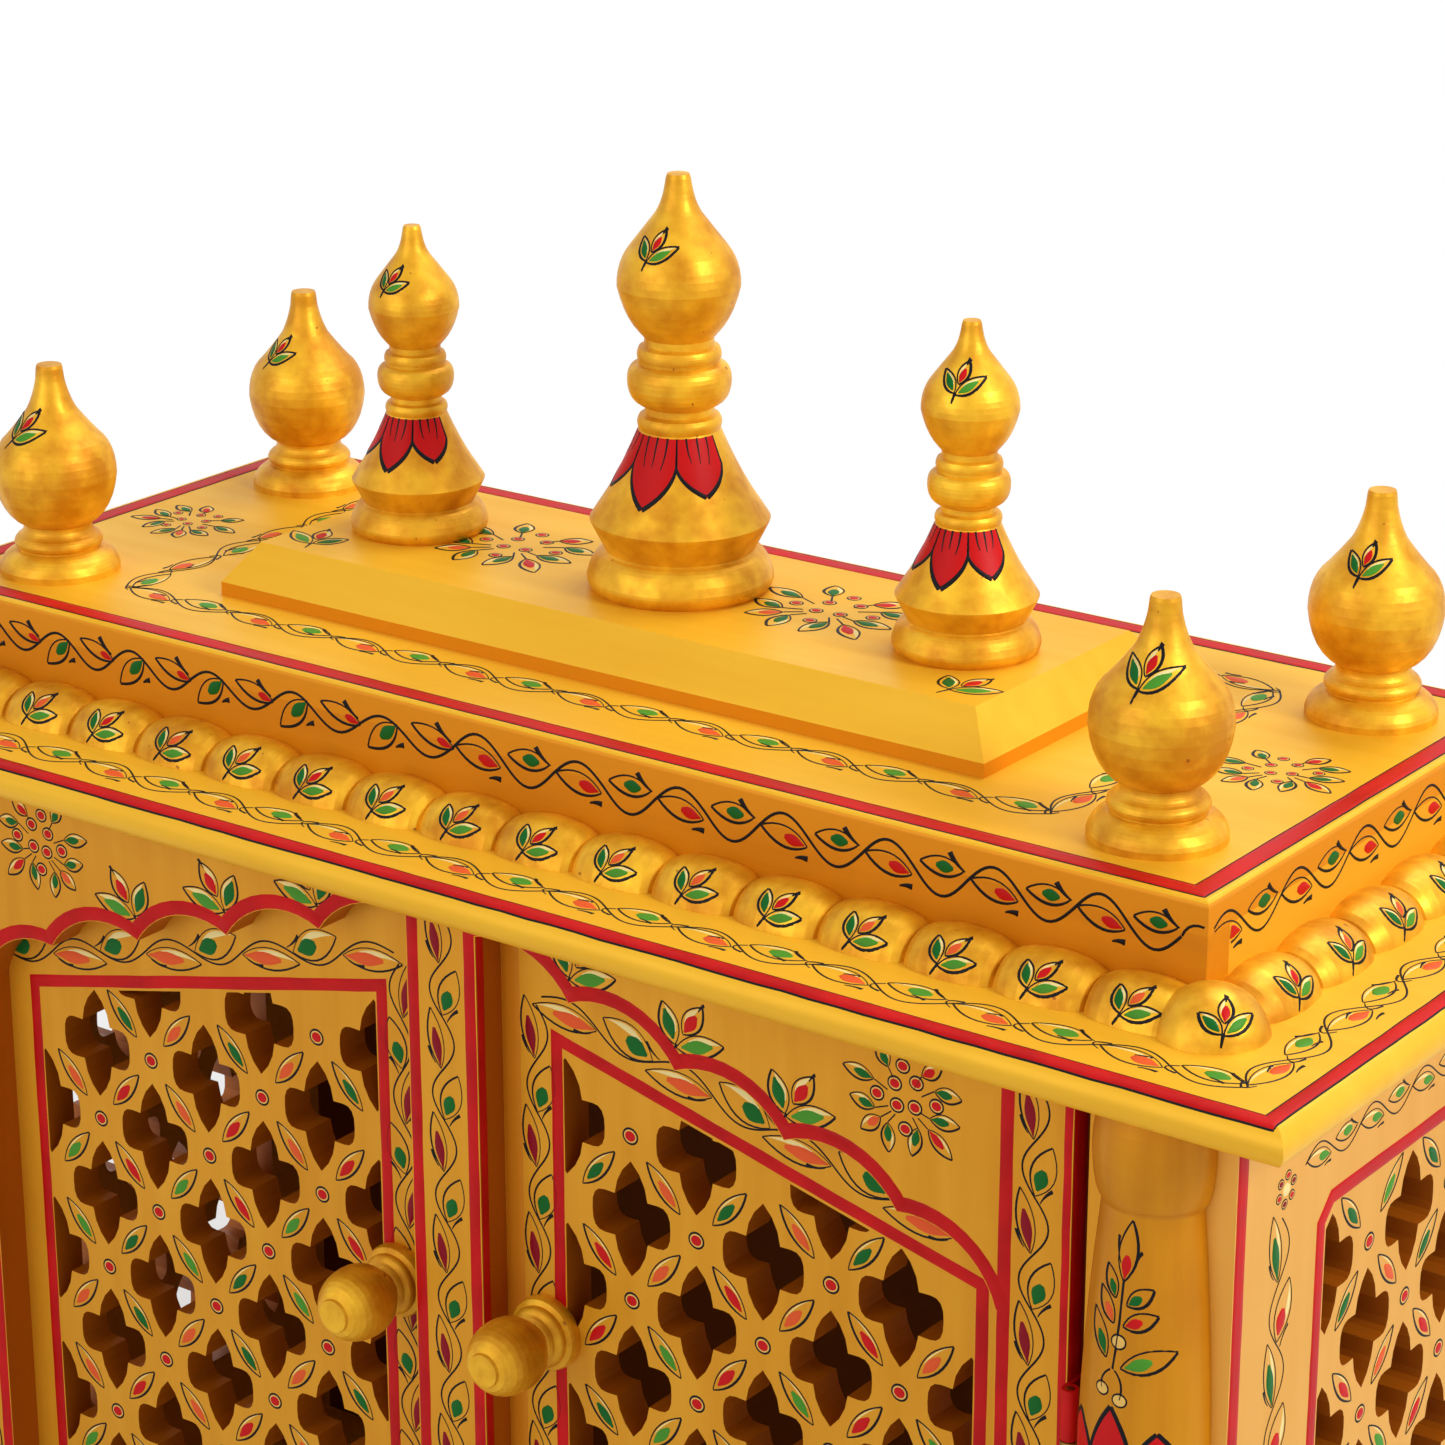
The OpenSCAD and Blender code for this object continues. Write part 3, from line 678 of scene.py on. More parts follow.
def inset(box, margins):
    """Corners of a level rectangle that lies inside a box by a margin in width and one in depth."""
    return rectangle(box.x - margins[0], box.y - margins[1])


def level_vines(pen, half_w, half_d, swing):
    """A vine along each side of a rectangle on a level face, with painted highlights in its leaves."""
    for side, length in round_sides(pen, half_w, half_d):
        vine(side, length, SLAB_BEND, SLAB_BEND, swing, EVEN, ("orange", "leaf"), SLAB_INK, SLAB_HIGHLIGHT, True)


def paint_roof():
    lines = Brush("roof_red_line")
    strokes = Brush("roof_flowers")
    roof = top_face(["roof_board"], ROOF.z)
    border(Pen(lines, roof), inset(ROOF, ROOF_LINE_IN), ROOF_LINE_W, inked=True)
    level_vines(Pen(strokes, roof), *ROOF_VINE_HALF, ROOF_SWING)
    for side in (Pen(strokes, roof), mirrored(Pen(strokes, roof))):
        cluster(side.moved(ROOF_CLUSTER_AT, turn(ROOF_CLUSTER_TILT)), ROOF_CLUSTER_INK, ROOF_BERRY_R)
    raised = top_face(["raised_base"], RAISED.z)
    for place in RAISED_CLUSTERS_AT:
        cluster(Pen(strokes, raised).moved(place, RAISED_CLUSTER_SIZE), RAISED_CLUSTER_INK, RAISED_BERRY_R)
    for side in (Pen(strokes, raised), mirrored(Pen(strokes, raised))):
        sprig(side.moved(RAISED_SPRIG_AT, RAISED_SPRIG_SIZE), "red", RAISED_SPRIG_INK)


# The vine on the long frieze boards runs loosely for a while, then evenly, and ends in a curl
FRIEZE_RISE, LOOSE_LENGTH, LOOSE_BENDS, LOOSE_SWING = 5.5, 237.0, (15, 19), 4.6
EVEN_BENDS, END_BENDS, EVEN_SWING = (19.6, 16.8), (20, 20), 6.2
CURL_LENGTH, CURL_PULL, CURL_TIP = 8.0, 2 + 5j, 7 + 4j
FRIEZE_INK, FRIEZE_END_INK = 0.95, 0.85


def paint_frieze():
    strokes = Brush("frieze_vine")
    names = [["frieze_" + name, "roof_board"] for name in OUTWARDS]
    height = (ROOF.z + CORNICE.z) / 2 + FRIEZE_RISE
    for face, half in side_faces(names, ROOF.x, ROOF.y):
        pen = Pen(strokes, face).moved(complex(-half, height))
        if half == ROOF.x:
            even = 2 * half - LOOSE_LENGTH - CURL_LENGTH
            end = LOOSE_LENGTH + even
            vine(pen, LOOSE_LENGTH, *LOOSE_BENDS, LOOSE_SWING, LOOSE, ("green", "red"), FRIEZE_INK)
            vine(pen.moved(LOOSE_LENGTH), even, *EVEN_BENDS, EVEN_SWING, EVEN, ("red", "green"), FRIEZE_INK)
            pen.line(bend(end + 0j, end + CURL_PULL, end + CURL_TIP, 5), FRIEZE_INK)
        else:
            vine(pen, 2 * half, *END_BENDS, EVEN_SWING, EVEN, ("red", "green"), FRIEZE_END_INK)


SLAB_LINE_REACH = (9.7, 7.4)


def paint_slab(name, low_w, low_d, top, swing):
    """Red line near the edge of a slab, and a vine between it and what stands on the slab."""
    lines = Brush(name + "_red_line")
    strokes = Brush(name + "_vine")
    face = top_face([name + "_board"], top.z)
    border(Pen(lines, face), inset(top, SLAB_LINE_IN), SLAB_LINE_W, inked=True)
    middle_w = (low_w + top.x - SLAB_LINE_REACH[0]) / 2
    middle_d = (low_d + top.y - SLAB_LINE_REACH[1]) / 2
    level_vines(Pen(strokes, face), middle_w, middle_d, swing)


BEAD_OUT, BEAD_SINK, BEAD_R, BEAD_PITCH, CORNER_BEAD_R = 5.4, 2.6, 13.8, 29.0, 16.2
BEAD_INK, BEAD_DEPTH = 0.92, 20.0
BEAD_TILT, BEAD_SPRIG_SIZE, BEAD_SPRIG_TILTS = 36, 1.05, (-19, -9)
SPRIG_AT = -1.5 - 2j
# The side runs end short of the corner beads, by this many of their radii in all
RUN_SHORT = 1.5
# A corner bead's sprig: the direction it faces, outwards and up, its place and tilt
CORNER_OUT, CORNER_UP, CORNER_SPRIG_AT, CORNER_TILT = 0.6, 0.53, -1 - 1j, 4


def paint_beads():
    strokes = Brush("bead_sprigs", "turned_gold_wood")
    tilt = math.radians(BEAD_TILT)
    height = CORNICE.z - BEAD_SINK
    side_run = 2 * (ROOF.y + BEAD_OUT) - RUN_SHORT * CORNER_BEAD_R
    for name, (ox, oy) in OUTWARDS.items():
        run = side_run if ox else 2 * ROOF.x
        count = round(run / BEAD_PITCH)
        axis = (ROOF.x if ox else ROOF.y) + BEAD_OUT
        right = Vector((-oy, ox, 0))
        out = Vector((ox * math.cos(tilt), oy * math.cos(tilt), math.sin(tilt)))
        for k in range(count):
            along = (k + 0.5) * run / count - run / 2
            origin = Vector((ox * axis, oy * axis, height)) + right * along
            bead = Face([name + "_beads"], origin, right, out.cross(right), BEAD_DEPTH)
            bud = "orange" if k % 3 else "red"
            way = turn(hand.uniform(*BEAD_SPRIG_TILTS), BEAD_SPRIG_SIZE)
            sprig(Pen(strokes, bead).moved(SPRIG_AT, way), bud, BEAD_INK)
    for sx in (-1, 1):
        for sy, node in ((-1, "front_beads"), (1, "back_beads")):
            out = Vector((sx * CORNER_OUT, sy * CORNER_OUT, CORNER_UP)).normalized()
            right = Vector((-out.y, out.x, 0)).normalized()
            origin = Vector((sx * (ROOF.x + BEAD_OUT), sy * (ROOF.y + BEAD_OUT), height))
            bead = Face([node], origin, right, out.cross(right), BEAD_DEPTH)
            sprig(Pen(strokes, bead).moved(CORNER_SPRIG_AT, turn(CORNER_TILT)), "red", BEAD_INK)


# Finials and columns
FRONT = math.radians(-90)
PETAL_INK, VEIN_INK, FINIAL_INK = 1.6, 0.85, 0.85
PETAL_ROW = 1.6


def petal_skirt(pen, middles, pitch, top, notch, tips, veins=3):
    """Lotus petals side by side from the height top to their tips, open below the notches between them."""
    for middle, tip in zip(middles, tips):
        sides = []
        for way in (-1, 1):
            edge = middle + way * pitch / 2
            belly = complex(middle + way * pitch * 0.41, notch + (tip - notch) * 0.5)
            rows = math.ceil(abs(notch - top) / PETAL_ROW)
            upright = [complex(edge, top + (notch - top) * n / rows) for n in range(rows)]
            curve = bend(complex(edge, notch), belly, complex(middle, tip))
            sides.append(upright + curve)
            pen.line(sides[-1], PETAL_INK, taper=(0.5, 1.0))
        pen.fill(*(sides if tip > top else sides[::-1]), "red")
        for n in range(veins):
            start = middle + pitch * ((n + 0.5) / veins - 0.5) * 0.8
            down = (tip - top) * hand.uniform(0.32, 0.5)
            end = complex(start * 0.7 + middle * 0.3, top + down)
            path = bend(complex(start, top), complex(start, top + down / 2), end, 5)
            pen.line(path, VEIN_INK, "ink", INK_LIFT, (1.1, 0.35), rim=DAB_LIFT)


def finial_axis(node):
    low, high = corners_mm(node)
    return (low + high) / 2, low.z, high.z - low.z


def finial_sprig(strokes, node, share, size, facing, tilt):
    """A sprig on the bulb of a finial, turned from the front towards its right side."""
    middle, foot, tall = finial_axis(node)
    out = towards(facing, 0)
    right = Vector((-out.y, out.x, 0))
    bulb = Face([node], (middle.x, middle.y, foot + tall * share), right, (0, 0, 1), 40.0)
    sprig(Pen(strokes, bulb).moved(SPRIG_AT, turn(tilt, size)), ink=FINIAL_INK)


def towards(azimuth, elevation):
    """Direction from the object, azimuth from the front towards its right side."""
    a, e = math.radians(azimuth), math.radians(elevation)
    return Vector((math.sin(a) * math.cos(e), -math.cos(a) * math.cos(e), math.sin(e)))


# Sprig on each finial: its size, the direction it faces from the front towards the right, its tilt
TALL_FINIALS = {"centre_finial": (0.88, 5, 0), "left_finial": (0.74, 0, -6), "right_finial": (0.84, 18, 2)}
CORNER_FINIALS = {"front_left_finial": (0.96, -10, -8), "back_left_finial": (0.84, -11, -5),
                  "front_right_finial": (1.04, 9, 2), "back_right_finial": (0.86, 10, 4)}
# Heights as shares of the finial, angles in degrees, and the radius that the petals' widths are measured at
TALL_SPRIG_UP, CORNER_SPRIG_UP = 0.83, 0.70
PETAL_TIPS, PETAL_NOTCH, PETAL_TOP = (0.254, 0.231, 0.260), 0.325, 0.389
PETAL_PITCH, PETAL_TURN, PETAL_RADIUS = 54, 6, 0.3


def paint_finials():
    strokes = Brush("finial_flowers", "turned_gold_wood")
    for node, manner in TALL_FINIALS.items():
        finial_sprig(strokes, node, TALL_SPRIG_UP, *manner)
        middle, foot, tall = finial_axis(node)
        low, high = corners_mm(node)
        radius = (high.x - low.x) * PETAL_RADIUS
        pen = Pen(strokes, Turned(node, middle, FRONT, radius))
        pitch = math.radians(PETAL_PITCH) * radius
        middles = [math.radians(PETAL_TURN) * radius + k * pitch for k in (-1, 0, 1)]
        tips = [foot + tall * share for share in PETAL_TIPS]
        petal_skirt(pen, middles, pitch, foot + PETAL_TOP * tall, foot + PETAL_NOTCH * tall, tips)
    for node, manner in CORNER_FINIALS.items():
        finial_sprig(strokes, node, CORNER_SPRIG_UP, *manner)


COLUMN_LEAVES = ((2.3 + 11j, 18 + 17j, 6.4, "leaf"), (-2.3 + 12.7j, -8.5 + 26j, 5.4, "green"),
                 (2.3 + 23.3j, 12.5 + 27.5j, 5.2, "red"), (-0.6 + 23.3j, -6.5 + 33j, 4.6, "orange"),
                 (3 + 29.5j, 11 + 35j, 5.0, "green"), (-0.6 + 30.7j, -4.5 + 40j, 4.4, "green"))


def column_plant(pen):
    """A stem with paired leaves and a three-pointed bud, rising 54 mm from the pen's place."""
    ink = 0.95
    pen.line([10j, 0.6 + 16j, 1.2 + 24j, 1.6 + 37j], ink)
    for base, tip, wide, colour in COLUMN_LEAVES:
        leaf(pen, base, tip, wide, colour, (0.08, 0.58), 0.0, ink)
    leaf(pen, 1.6 + 36j, 3.2 + 54j, 6.4, "red", (0.05, 0.46), 0.0, ink)
    comma(pen, 7 + 45.5j, 4.6 + 40j, ink * 1.3)
    comma(pen, -1.2 + 49j, 0.2 + 41j, ink * 1.3)
    for place, stem in ((-3 + 3.5j, -0.6 + 10j), (2.6 + 1.5j, 0.6 + 10j)):
        pen.line(bend(stem, complex(place.real * 1.5, 7), place, 6), ink * 0.8)
        berry(pen, place, 2.3, None)
    berry(pen, 1.3 + 18.5j, 2.5, None)


# Petals of a column: the radius their widths are measured at, their angles, and the height of the middle tip
COLUMN_R, COLUMN_TIP_Z = 18.0, 323
COLUMN_PETALS, COLUMN_PITCH, COLUMN_PLANT_TURN = (-44.3, -4, 36.3), 40.3, -4.5
COLUMN_PETAL_LENGTH, COLUMN_NOTCH, COLUMN_SIDE_DROP = 44, 16, 6


def paint_columns():
    strokes = Brush("column_flowers", "turned_gold_wood")
    middle_z = (BODY_Z + CORNICE_Z) / 2
    tip = COLUMN_TIP_Z - middle_z
    pitch = math.radians(COLUMN_PITCH) * COLUMN_R
    middles = [math.radians(angle) * COLUMN_R for angle in COLUMN_PETALS]
    tips = [tip - COLUMN_SIDE_DROP, tip, tip - COLUMN_SIDE_DROP]
    for node in ("right_column", "left_column"):
        low, high = corners_mm(node)
        surface = Turned(node, ((low.x + high.x) / 2, high.y), FRONT, COLUMN_R)
        for flip in (False, True):
            pen = Pen(strokes, surface).moved(complex(0, middle_z), 1, flip)
            column_plant(pen.moved(complex(math.radians(COLUMN_PLANT_TURN) * COLUMN_R, tip + 1)))
            petal_skirt(pen, middles, pitch, tip - COLUMN_PETAL_LENGTH, tip - COLUMN_NOTCH, tips, 2)


# Side boards, plinth and back
# Half a cell of the lattice, the leaves on its struts and the dots on its crossings
HALF_W, HALF_H = 24.5, 27.5
STRUT_LEAF_HALF, STRUT_LEAF_W, CROSSING_R = 9.4, 5.6, 3.0
STRUT_REACH, STRUT_HIGHLIGHT, STRUT_INK = (0.16, 0.66), 0.24, 0.8
STRUT_COLOURS = ("green", "orange", "red", "leaf")
LATTICE_COLUMNS, LATTICE_ROWS = 3, 10
# How far inside the edges of its field the paint of a lattice stays
KEEP_X, KEEP_Z = 5, 6


def lattice_paint(pen, centre, keep):
    """A ringed dot at each crossing of a lattice and a leaf on each strut that keep() accepts."""
    for row in range(-1, LATTICE_ROWS):
        for column in range(-LATTICE_COLUMNS, LATTICE_COLUMNS + 1):
            if (row + column) % 2:
                continue
            place = centre + complex(column * HALF_W, -row * HALF_H)
            if keep(place):
                berry(pen, place, CROSSING_R)
            for way in (1, -1):
                strut = complex(way * HALF_W, -HALF_H)
                middle = place + strut / 2
                if keep(middle):
                    half = strut / abs(strut) * STRUT_LEAF_HALF
                    colour = STRUT_COLOURS[(row + (way > 0)) % 4]
                    leaf(pen, middle + half, middle - half, STRUT_LEAF_W, colour, STRUT_REACH,
                         STRUT_HIGHLIGHT, STRUT_INK)


SIDE_FIELD_LOW, SIDE_FIELD_TOP, SIDE_FIELD_FRONT, SIDE_FIELD_BACK = 95.0, 361.0, -70.0, 82.0
SIDE_LINE_W, SIDE_LINE_OUT, SIDE_CUT = 4.8, 3.0, 6.0
SIDE_EDGE_LINE_W, SIDE_EDGE_LINE_IN = 5.6, 3.2
SIDE_INK, SIDE_HIGHLIGHT = 0.52, 0.5
SIDE_LATTICE_AT, SIDE_BLOSSOM_AT = 6 + 340.5j, -94.3 + 376.8j
SIDE_VINES = (
    (-96 + 369j, -1j, 270, 19.5, 4.6, CLIMBING, ("green", "red"), SIDE_HIGHLIGHT),
    (-84 + 380j, 1, 186, 15.5, 4.2, EVEN, ("leaf", "leaf"), SIDE_HIGHLIGHT),
    (-84 + 73j, 1, 186, 15.5, 4.2, EVEN, ("green", "red"), SIDE_HIGHLIGHT),
    (100 + 96j, 1j, 270, 19.5, 4.6, CLIMBING, ("green", "red"), SIDE_HIGHLIGHT),
)


def side_keep(place):
    """Whether a place lies well inside the pierced field of a side board."""
    return (SIDE_FIELD_FRONT + KEEP_X < place.real < SIDE_FIELD_BACK - KEEP_X
            and SIDE_FIELD_LOW + KEEP_Z < place.imag < SIDE_FIELD_TOP - KEEP_Z)


def paint_side(side):
    lines = Brush(side + "_side_red_lines", "ochre_painted_wood")
    strokes = Brush(side + "_side_flowers", "ochre_painted_wood")
    right = side == "right"
    out = 1 if right else -1
    face = Face([side + "_side_jaali"], (out * SIDE.x, 0, 0), (0, out, 0), (0, 0, 1))
    pen = handed(lines, face, right)
    low, high = SIDE_FIELD_LOW - SIDE_LINE_OUT, SIDE_FIELD_TOP + SIDE_LINE_OUT
    front, back = SIDE_FIELD_FRONT - SIDE_LINE_OUT, SIDE_FIELD_BACK + SIDE_LINE_OUT
    corners = [complex(front, low), complex(back, low), complex(back, high), complex(front + SIDE_CUT, high),
               complex(front, high - SIDE_CUT)]
    border(pen, corners, SIDE_LINE_W)
    line_y = SIDE_LOW.y + SIDE_EDGE_LINE_IN
    border(pen, [complex(line_y, BODY_Z + 1), complex(line_y, CORNICE_Z - 1)], SIDE_EDGE_LINE_W, False)
    pen = handed(strokes, face, right)
    vines(pen, SIDE_VINES, SIDE_INK)
    blossom(pen.moved(SIDE_BLOSSOM_AT))
    lattice_paint(pen, SIDE_LATTICE_AT, side_keep)


PLINTH_BEND, PLINTH_SWING, PLINTH_INK = 21, 6.2, 0.8
BACK_LINE_W, BACK_LINE_IN = 5.2, 14


def plinth_boards(side):
    """The boards that show on a side of the plinth: front and back reach round to its ends."""
    boards = ["plinth_" + side]
    return boards if side in ("front", "back") else boards + ["plinth_front", "plinth_back"]


def paint_plinth():
    strokes = Brush("plinth_vine")
    names = [plinth_boards(side) for side in OUTWARDS]
    for face, half in side_faces(names, PLINTH.x, -PLINTH_LOW.y):
        pen = Pen(strokes, face).moved(complex(-half, PLINTH.z / 2))
        vine(pen, 2 * half, PLINTH_BEND, PLINTH_BEND, PLINTH_SWING, EVEN, ("red", "green"), PLINTH_INK)


def paint_back():
    lines = Brush("back_red_line", "ochre_painted_wood")
    low, high = corners_mm("back_panel")
    face = Face(["back_panel"], (0, high.y, 0), (-1, 0, 0), (0, 0, 1))
    middle = complex(0, (low.z + high.z) / 2)
    corners = rectangle(high.x - BACK_LINE_IN, (high.z - low.z) / 2 - BACK_LINE_IN, middle)
    border(Pen(lines, face), corners, BACK_LINE_W)


# Doors, drawn for the right one and mirrored for the left
CUSP_X, CUSP_PITCH, CUSP_DROP, CUSP_COUNT = 9.8, 39.2, 11.4, 4
ARC_RISE, CROWN, SPRING = 7.6, 9.6, 76.0
DOOR_LINE_W, OUTER_LINE_W, ARCH_LINE_W, ARCH_LINE_OUT = 4.4, 2.7, 4.8, 0.2
ARCH_LIFTS = (0.17, 0.22)
OUTER_RED_DEPTH, CENTRE_RED_DEPTH = 7.0, 3.4
LINE_IN, LINE_END_IN, RAIL_LINE_FROM, DOOR_DEPTH = 0.35, 0.5, 8.2, 2.0
DOOR_INK, DOOR_BEND, RAIL_BEND, SLOPE_BEND = 0.66, 17.5, 18.5, 19.6
WINE_GREEN = ("wine", "green")
VINE_IN, STILE_SWING, CENTRE_SWING = 3, 4.4, 4.6
RAIL_VINE_FROM, RAIL_VINE_TO, RAIL_VINE_UP, RAIL_SWING = 9, 2, 11, 5.0
DOOR_CLUSTER_AT, DOOR_CLUSTER_SIZE = 169 + 384j, 0.97
CUSP_SPRIG_AT, CUSP_SPRIG_TILT, CUSP_SPRIG_SIZE = 0.6 + 8.2j, -14, 1.6
CUSP_SPRIG_INK, CUSP_SPRIG_STEM = 0.8, 0.8
CUSPS = [complex(CUSP_X + k * CUSP_PITCH, LEAF_TOP - CROWN - k * CUSP_DROP) for k in range(CUSP_COUNT + 1)]
# The pierced field of the right leaf: lower edge, upper edge at its inner and outer end, inner and outer end
FIELD_LOW, FIELD_TOP_IN, FIELD_TOP_OUT, FIELD_IN, FIELD_OUT = 98.0, 361.0, 325.5, 37.3, 185.7
FIELD_LINE_OUT, FIELD_PEAK_OUT, FIELD_LATTICE_Z = 2.6, 1.2, 340
# A darker ochre band on the jaali along the right side of the centre stile: painted shade beside the stile
STILE_SHADE_OUT, STILE_SHADE_W = 3.6, 7.0
FIELD_SLOPE = complex(FIELD_OUT - FIELD_IN, FIELD_TOP_OUT - FIELD_TOP_IN)
JAALI_VINES = (
    (27 + 374j, -1j, 290, DOOR_BEND, 4.2, CLIMBING, WINE_GREEN, 0.0),
    (29 + 377j, FIELD_SLOPE / abs(FIELD_SLOPE), 176, SLOPE_BEND, 4.0, CLIMBING, ("orange", "green"), 0.5),
    (30 + 87j, 1, 166, RAIL_BEND, 3.8, EVEN, WINE_GREEN, SLAB_HIGHLIGHT),
)


def arc_over(start, end, rise, steps=10):
    """An arc from start to end that rises over its chord."""
    chord = abs(end - start)
    radius = (chord * chord / 4 + rise * rise) / (2 * rise)
    half = math.asin(chord / 2 / radius)
    along = (end - start) / chord
    middle = (start + end) / 2

    def point(a):
        return middle + along * radius * math.sin(a) + 1j * along * (radius * math.cos(a) - radius + rise)

    return [point(half * (2 * k / steps - 1)) for k in range(steps + 1)]


def field_keep(place):
    """Whether a place lies well inside the pierced field of a leaf."""
    top = FIELD_TOP_IN + (FIELD_TOP_OUT - FIELD_TOP_IN) * (place.real - FIELD_IN) / (FIELD_OUT - FIELD_IN)
    return (FIELD_IN + KEEP_X < place.real < FIELD_OUT - KEEP_X
            and FIELD_LOW + KEEP_Z < place.imag < top - KEEP_Z)


def door_line(pen, x, wide, colour="border"):
    """An upright line over the whole height of a door."""
    ends = [complex(x, LEAF_Z + LINE_END_IN), complex(x, LEAF_TOP - LINE_END_IN)]
    border(pen, ends, wide, False, False, colour)


def paint_door_lines(lines, front, side):
    """Red lines on the face and the edges of a door's frame."""
    right = side == "right"
    pen = handed(lines, front, right)
    inner = DOOR_LINE_W / 2 + LINE_IN
    door_line(pen, STILE_LOW.x + inner, DOOR_LINE_W)
    door_line(pen, STILE.x - OUTER_LINE_W / 2 - LINE_IN, OUTER_LINE_W)
    if right:
        door_line(pen, CENTRE_LOW.x + inner, DOOR_LINE_W)
        door_line(pen, CENTRE.x - inner, DOOR_LINE_W)
    rail_ends = [complex(x, RAIL.z - inner) for x in (CENTRE.x + RAIL_LINE_FROM, STILE_LOW.x)]
    border(pen, rail_ends, DOOR_LINE_W, False)
    springs = CUSPS + [complex(STILE_LOW.x, LEAF_TOP - SPRING)]
    for k, (start, end) in enumerate(zip(springs, springs[1:])):
        arc = arc_over(start, end, ARC_RISE)
        outer, lower = beside(arc, ARCH_LINE_W + ARCH_LINE_OUT), beside(arc, ARCH_LINE_OUT)
        pen.fill(outer, lower, "border", ARCH_LIFTS[k % 2])
    out = 1 if right else -1
    flanks = [(side + "_outer_stile", out * STILE.x, out, OUTER_RED_DEPTH)]
    if right:
        flanks.append(("centre_stile", CENTRE.x, 1, CENTRE_RED_DEPTH))
        flanks.append(("centre_stile", CENTRE_LOW.x, -1, CENTRE_RED_DEPTH))
    for node, x, way, deep in flanks:
        flank = Face([node], (x, 0, 0), (0, way, 0), (0, 0, 1), DOOR_DEPTH)
        door_line(Pen(lines, flank), way * (FACE_Y + deep / 2 + LINE_IN), deep)


def paint_door_frame(strokes, front, right):
    """Vines, a cluster and sprigs on the face of a door's frame."""
    pen = handed(strokes, front, right)
    swings = {(STILE_LOW.x + STILE.x) / 2: STILE_SWING}
    if right:
        swings[0] = CENTRE_SWING
    drop = LEAF_TOP - LEAF_Z - 2 * VINE_IN
    for x, swing in swings.items():
        top = pen.moved(complex(x, LEAF_TOP - VINE_IN), -1j)
        vine(top, drop, DOOR_BEND, DOOR_BEND, swing, CLIMBING, WINE_GREEN, DOOR_INK)
    start = complex(CENTRE.x + RAIL_VINE_FROM, LEAF_Z + RAIL_VINE_UP)
    length = STILE_LOW.x - start.real - RAIL_VINE_TO
    vine(pen.moved(start), length, RAIL_BEND, RAIL_BEND, RAIL_SWING, EVEN, WINE_GREEN, DOOR_INK, SLAB_HIGHLIGHT)
    cluster(pen.moved(DOOR_CLUSTER_AT, DOOR_CLUSTER_SIZE), DOOR_INK)
    for place in CUSPS[1:4]:
        way = turn(CUSP_SPRIG_TILT, CUSP_SPRIG_SIZE)
        sprig(pen.moved(place + CUSP_SPRIG_AT, way), "red", CUSP_SPRIG_INK, CUSP_SPRIG_STEM)


def paint_door_jaali(lines, strokes, jaali, right):
    """Border, vines and lattice paint on a door's jaali board."""
    x_in, x_out = FIELD_IN - FIELD_LINE_OUT, FIELD_OUT + FIELD_LINE_OUT
    low, top_out = FIELD_LOW - FIELD_LINE_OUT, FIELD_TOP_OUT + FIELD_LINE_OUT
    top_in = FIELD_TOP_IN + FIELD_LINE_OUT + FIELD_PEAK_OUT
    corners = [complex(x_in, low), complex(x_out, low), complex(x_out, top_out), complex(x_in, top_in)]
    border(handed(lines, jaali, right), corners, DOOR_LINE_W)
    pen = handed(strokes, jaali, right)
    # Painted shade: a darker ochre band beside the centre stile
    if right:
        door_line(pen, CENTRE.x + STILE_SHADE_OUT, STILE_SHADE_W, "ochre")
    vines(pen, JAALI_VINES, DOOR_INK)
    lattice_paint(pen, complex((FIELD_IN + FIELD_OUT) / 2, FIELD_LATTICE_Z), field_keep)


def paint_door(side):
    right = side == "right"
    body = side + "_door"
    lines = Brush(body + "_red_lines", "ochre_painted_wood", body)
    strokes = Brush(body + "_flowers", "ochre_painted_wood", body)
    frame_nodes = [side + part for part in ("_outer_stile", "_arch_head", "_bottom_rail")]
    if right:
        frame_nodes.append("centre_stile")
    front = Face(frame_nodes, (0, FACE_Y, 0), (1, 0, 0), (0, 0, 1), DOOR_DEPTH)
    jaali = Face([side + "_door_jaali"], (0, JAALI_Y, 0), (1, 0, 0), (0, 0, 1), DOOR_DEPTH)
    paint_door_lines(lines, front, side)
    paint_door_frame(strokes, front, right)
    paint_door_jaali(lines, strokes, jaali, right)


CORNICE_SWING, BASE_SWING = 5.6, 4.0
BEAD_REACH = BEAD_OUT + BEAD_R

paint_roof()
paint_frieze()
paint_slab("cornice", ROOF.x + BEAD_REACH, ROOF.y + BEAD_REACH, CORNICE, CORNICE_SWING)
paint_slab("base", SIDE.x, SIDE.y, BASE, BASE_SWING)
paint_beads()
paint_finials()
paint_columns()
paint_side("right")
paint_side("left")
paint_plinth()
paint_back()
paint_door("right")
paint_door("left")
for brush in BRUSHES:
    brush.dry()


# Stage: a pale floor that turns white away from the object, plain studio light and the camera
FLOOR_HALF, FLOOR_GREY, FADE_FROM, FADE_TO = 9.0, 0.86, 0.45, 1.1
AMBIENT = 0.34
AIM = Vector((0.0, 0.0, 0.40))
# Lamps: azimuth and elevation, distance and width in metres, power in watts
LAMPS = {"right": (92, 32, 1.9, 0.6, 20), "front": (-15, 22, 2.2, 1.8, 15), "top": (165, 62, 1.7, 1.0, 13.5)}


def seen_directly(nodes):
    """One for rays that show the background: from the camera, or by way of gloss or glass."""
    path = nodes.add("LightPath").outputs
    either = nodes.maths("MAXIMUM", path["Is Camera Ray"], path["Is Glossy Ray"])
    return nodes.maths("MAXIMUM", either, path["Is Transmission Ray"])


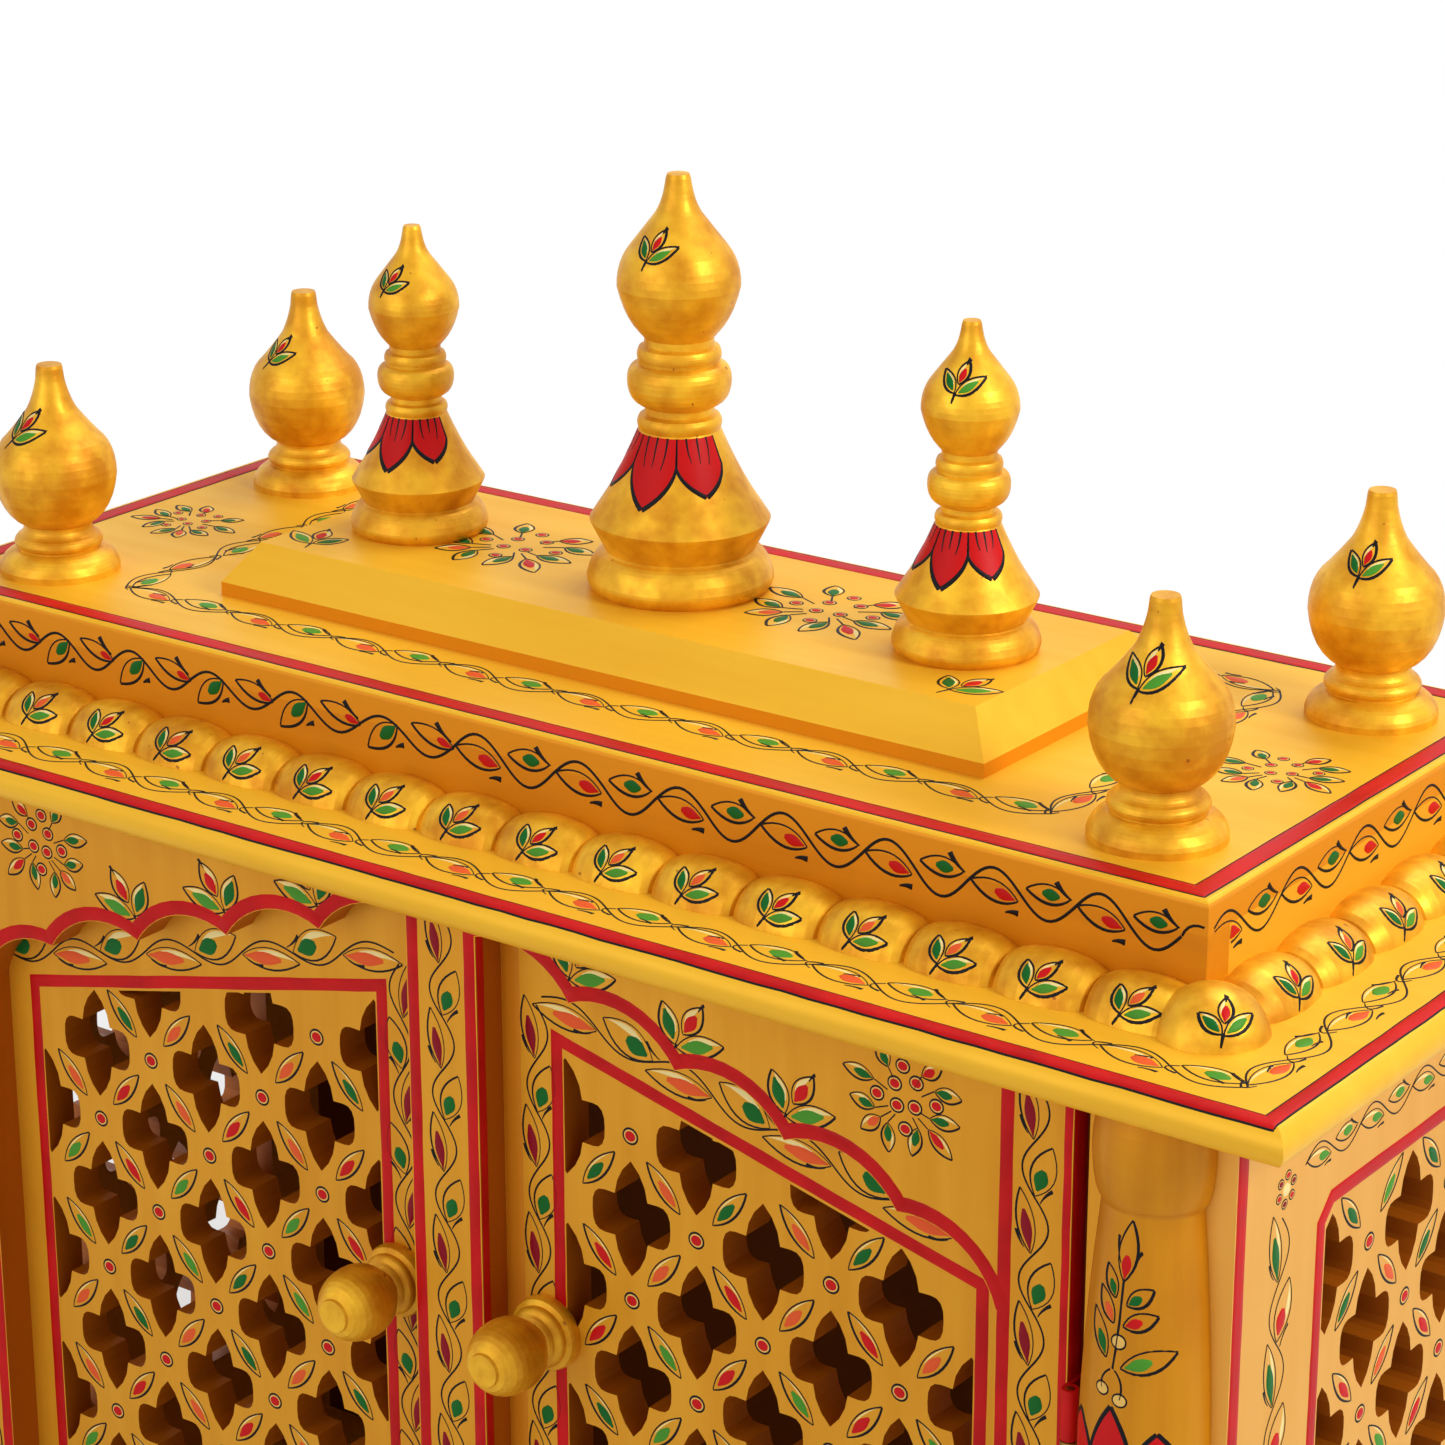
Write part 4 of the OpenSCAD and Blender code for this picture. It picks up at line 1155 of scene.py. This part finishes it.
def make_floor():
    corners = [(place.real, place.imag, 0) for place in rectangle(FLOOR_HALF, FLOOR_HALF)]
    mesh = bpy.data.meshes.new("floor")
    mesh.from_pydata(corners, [], [(0, 1, 2, 3)])
    floor = bpy.data.objects.new("floor", mesh)
    bpy.context.scene.collection.objects.link(floor)
    paint = Paint("floor", Base_Color=(FLOOR_GREY, FLOOR_GREY, FLOOR_GREY, 1), Roughness=0.9)
    white = paint.add("Emission", {"Color": (1, 1, 1, 1), "Strength": 1.0})
    place = paint.add("NewGeometry").outputs["Position"]
    away = paint.add("VectorMath", {0: place}, operation="LENGTH").outputs["Value"]
    fade = paint.maths("MULTIPLY", paint.spread(away, FADE_FROM, FADE_TO, 0.0, 1.0), seen_directly(paint))
    surface = paint.mix_shaders(fade, paint.surface.outputs[0], white.outputs[0])
    paint.put(paint.tree.nodes["Material Output"].inputs["Surface"], surface)
    mesh.materials.append(paint.material)


def make_world():
    world = bpy.data.worlds.new("studio")
    bpy.context.scene.world = world
    world.use_nodes = True
    nodes = Nodes(world.node_tree)
    ambient = nodes.tree.nodes["Background"]
    nodes.put(ambient.inputs["Color"], (1, 1, 1, 1))
    nodes.put(ambient.inputs["Strength"], AMBIENT)
    white = nodes.add("Background", {"Color": (1, 1, 1, 1), "Strength": 1.0})
    surface = nodes.mix_shaders(seen_directly(nodes), ambient.outputs[0], white.outputs[0])
    nodes.put(nodes.tree.nodes["World Output"].inputs["Surface"], surface)


def area_light(name, azimuth, elevation, distance, size, power):
    lamp = bpy.data.lights.new(name, "AREA")
    lamp.shape, lamp.size, lamp.energy = "DISK", size, power
    light = bpy.data.objects.new(name, lamp)
    out = towards(azimuth, elevation)
    light.location = AIM + out * distance
    light.rotation_euler = out.to_track_quat("Z", "Y").to_euler()
    bpy.context.scene.collection.objects.link(light)


CAMERA_AZIMUTH, CAMERA_ELEVATION, CAMERA_ROLL = 36.248, 19.5, -0.115
CAMERA_DISTANCE, CAMERA_LENS = 1.3299, 103.93
CAMERA_TARGET = Vector((0.01641, 0.0, 0.4305))


def make_camera():
    lens = bpy.data.cameras.new("camera")
    lens.lens, lens.sensor_width, lens.clip_start, lens.clip_end = CAMERA_LENS, 36.0, 0.05, 60.0
    camera = bpy.data.objects.new("camera", lens)
    back = towards(CAMERA_AZIMUTH, CAMERA_ELEVATION)
    level = Vector((-back.y, back.x, 0)).normalized()
    upright = back.cross(level)
    roll = math.radians(CAMERA_ROLL)
    right = level * math.cos(roll) + upright * math.sin(roll)
    up = upright * math.cos(roll) - level * math.sin(roll)
    facing = Matrix((right, up, back)).transposed().to_4x4()
    camera.matrix_world = Matrix.Translation(CAMERA_TARGET + back * CAMERA_DISTANCE) @ facing
    bpy.context.scene.collection.objects.link(camera)
    bpy.context.scene.camera = camera


make_floor()
make_world()
for lamp_name, values in LAMPS.items():
    area_light(lamp_name, *values)
make_camera()
bpy.context.scene.view_settings.view_transform = "Standard"
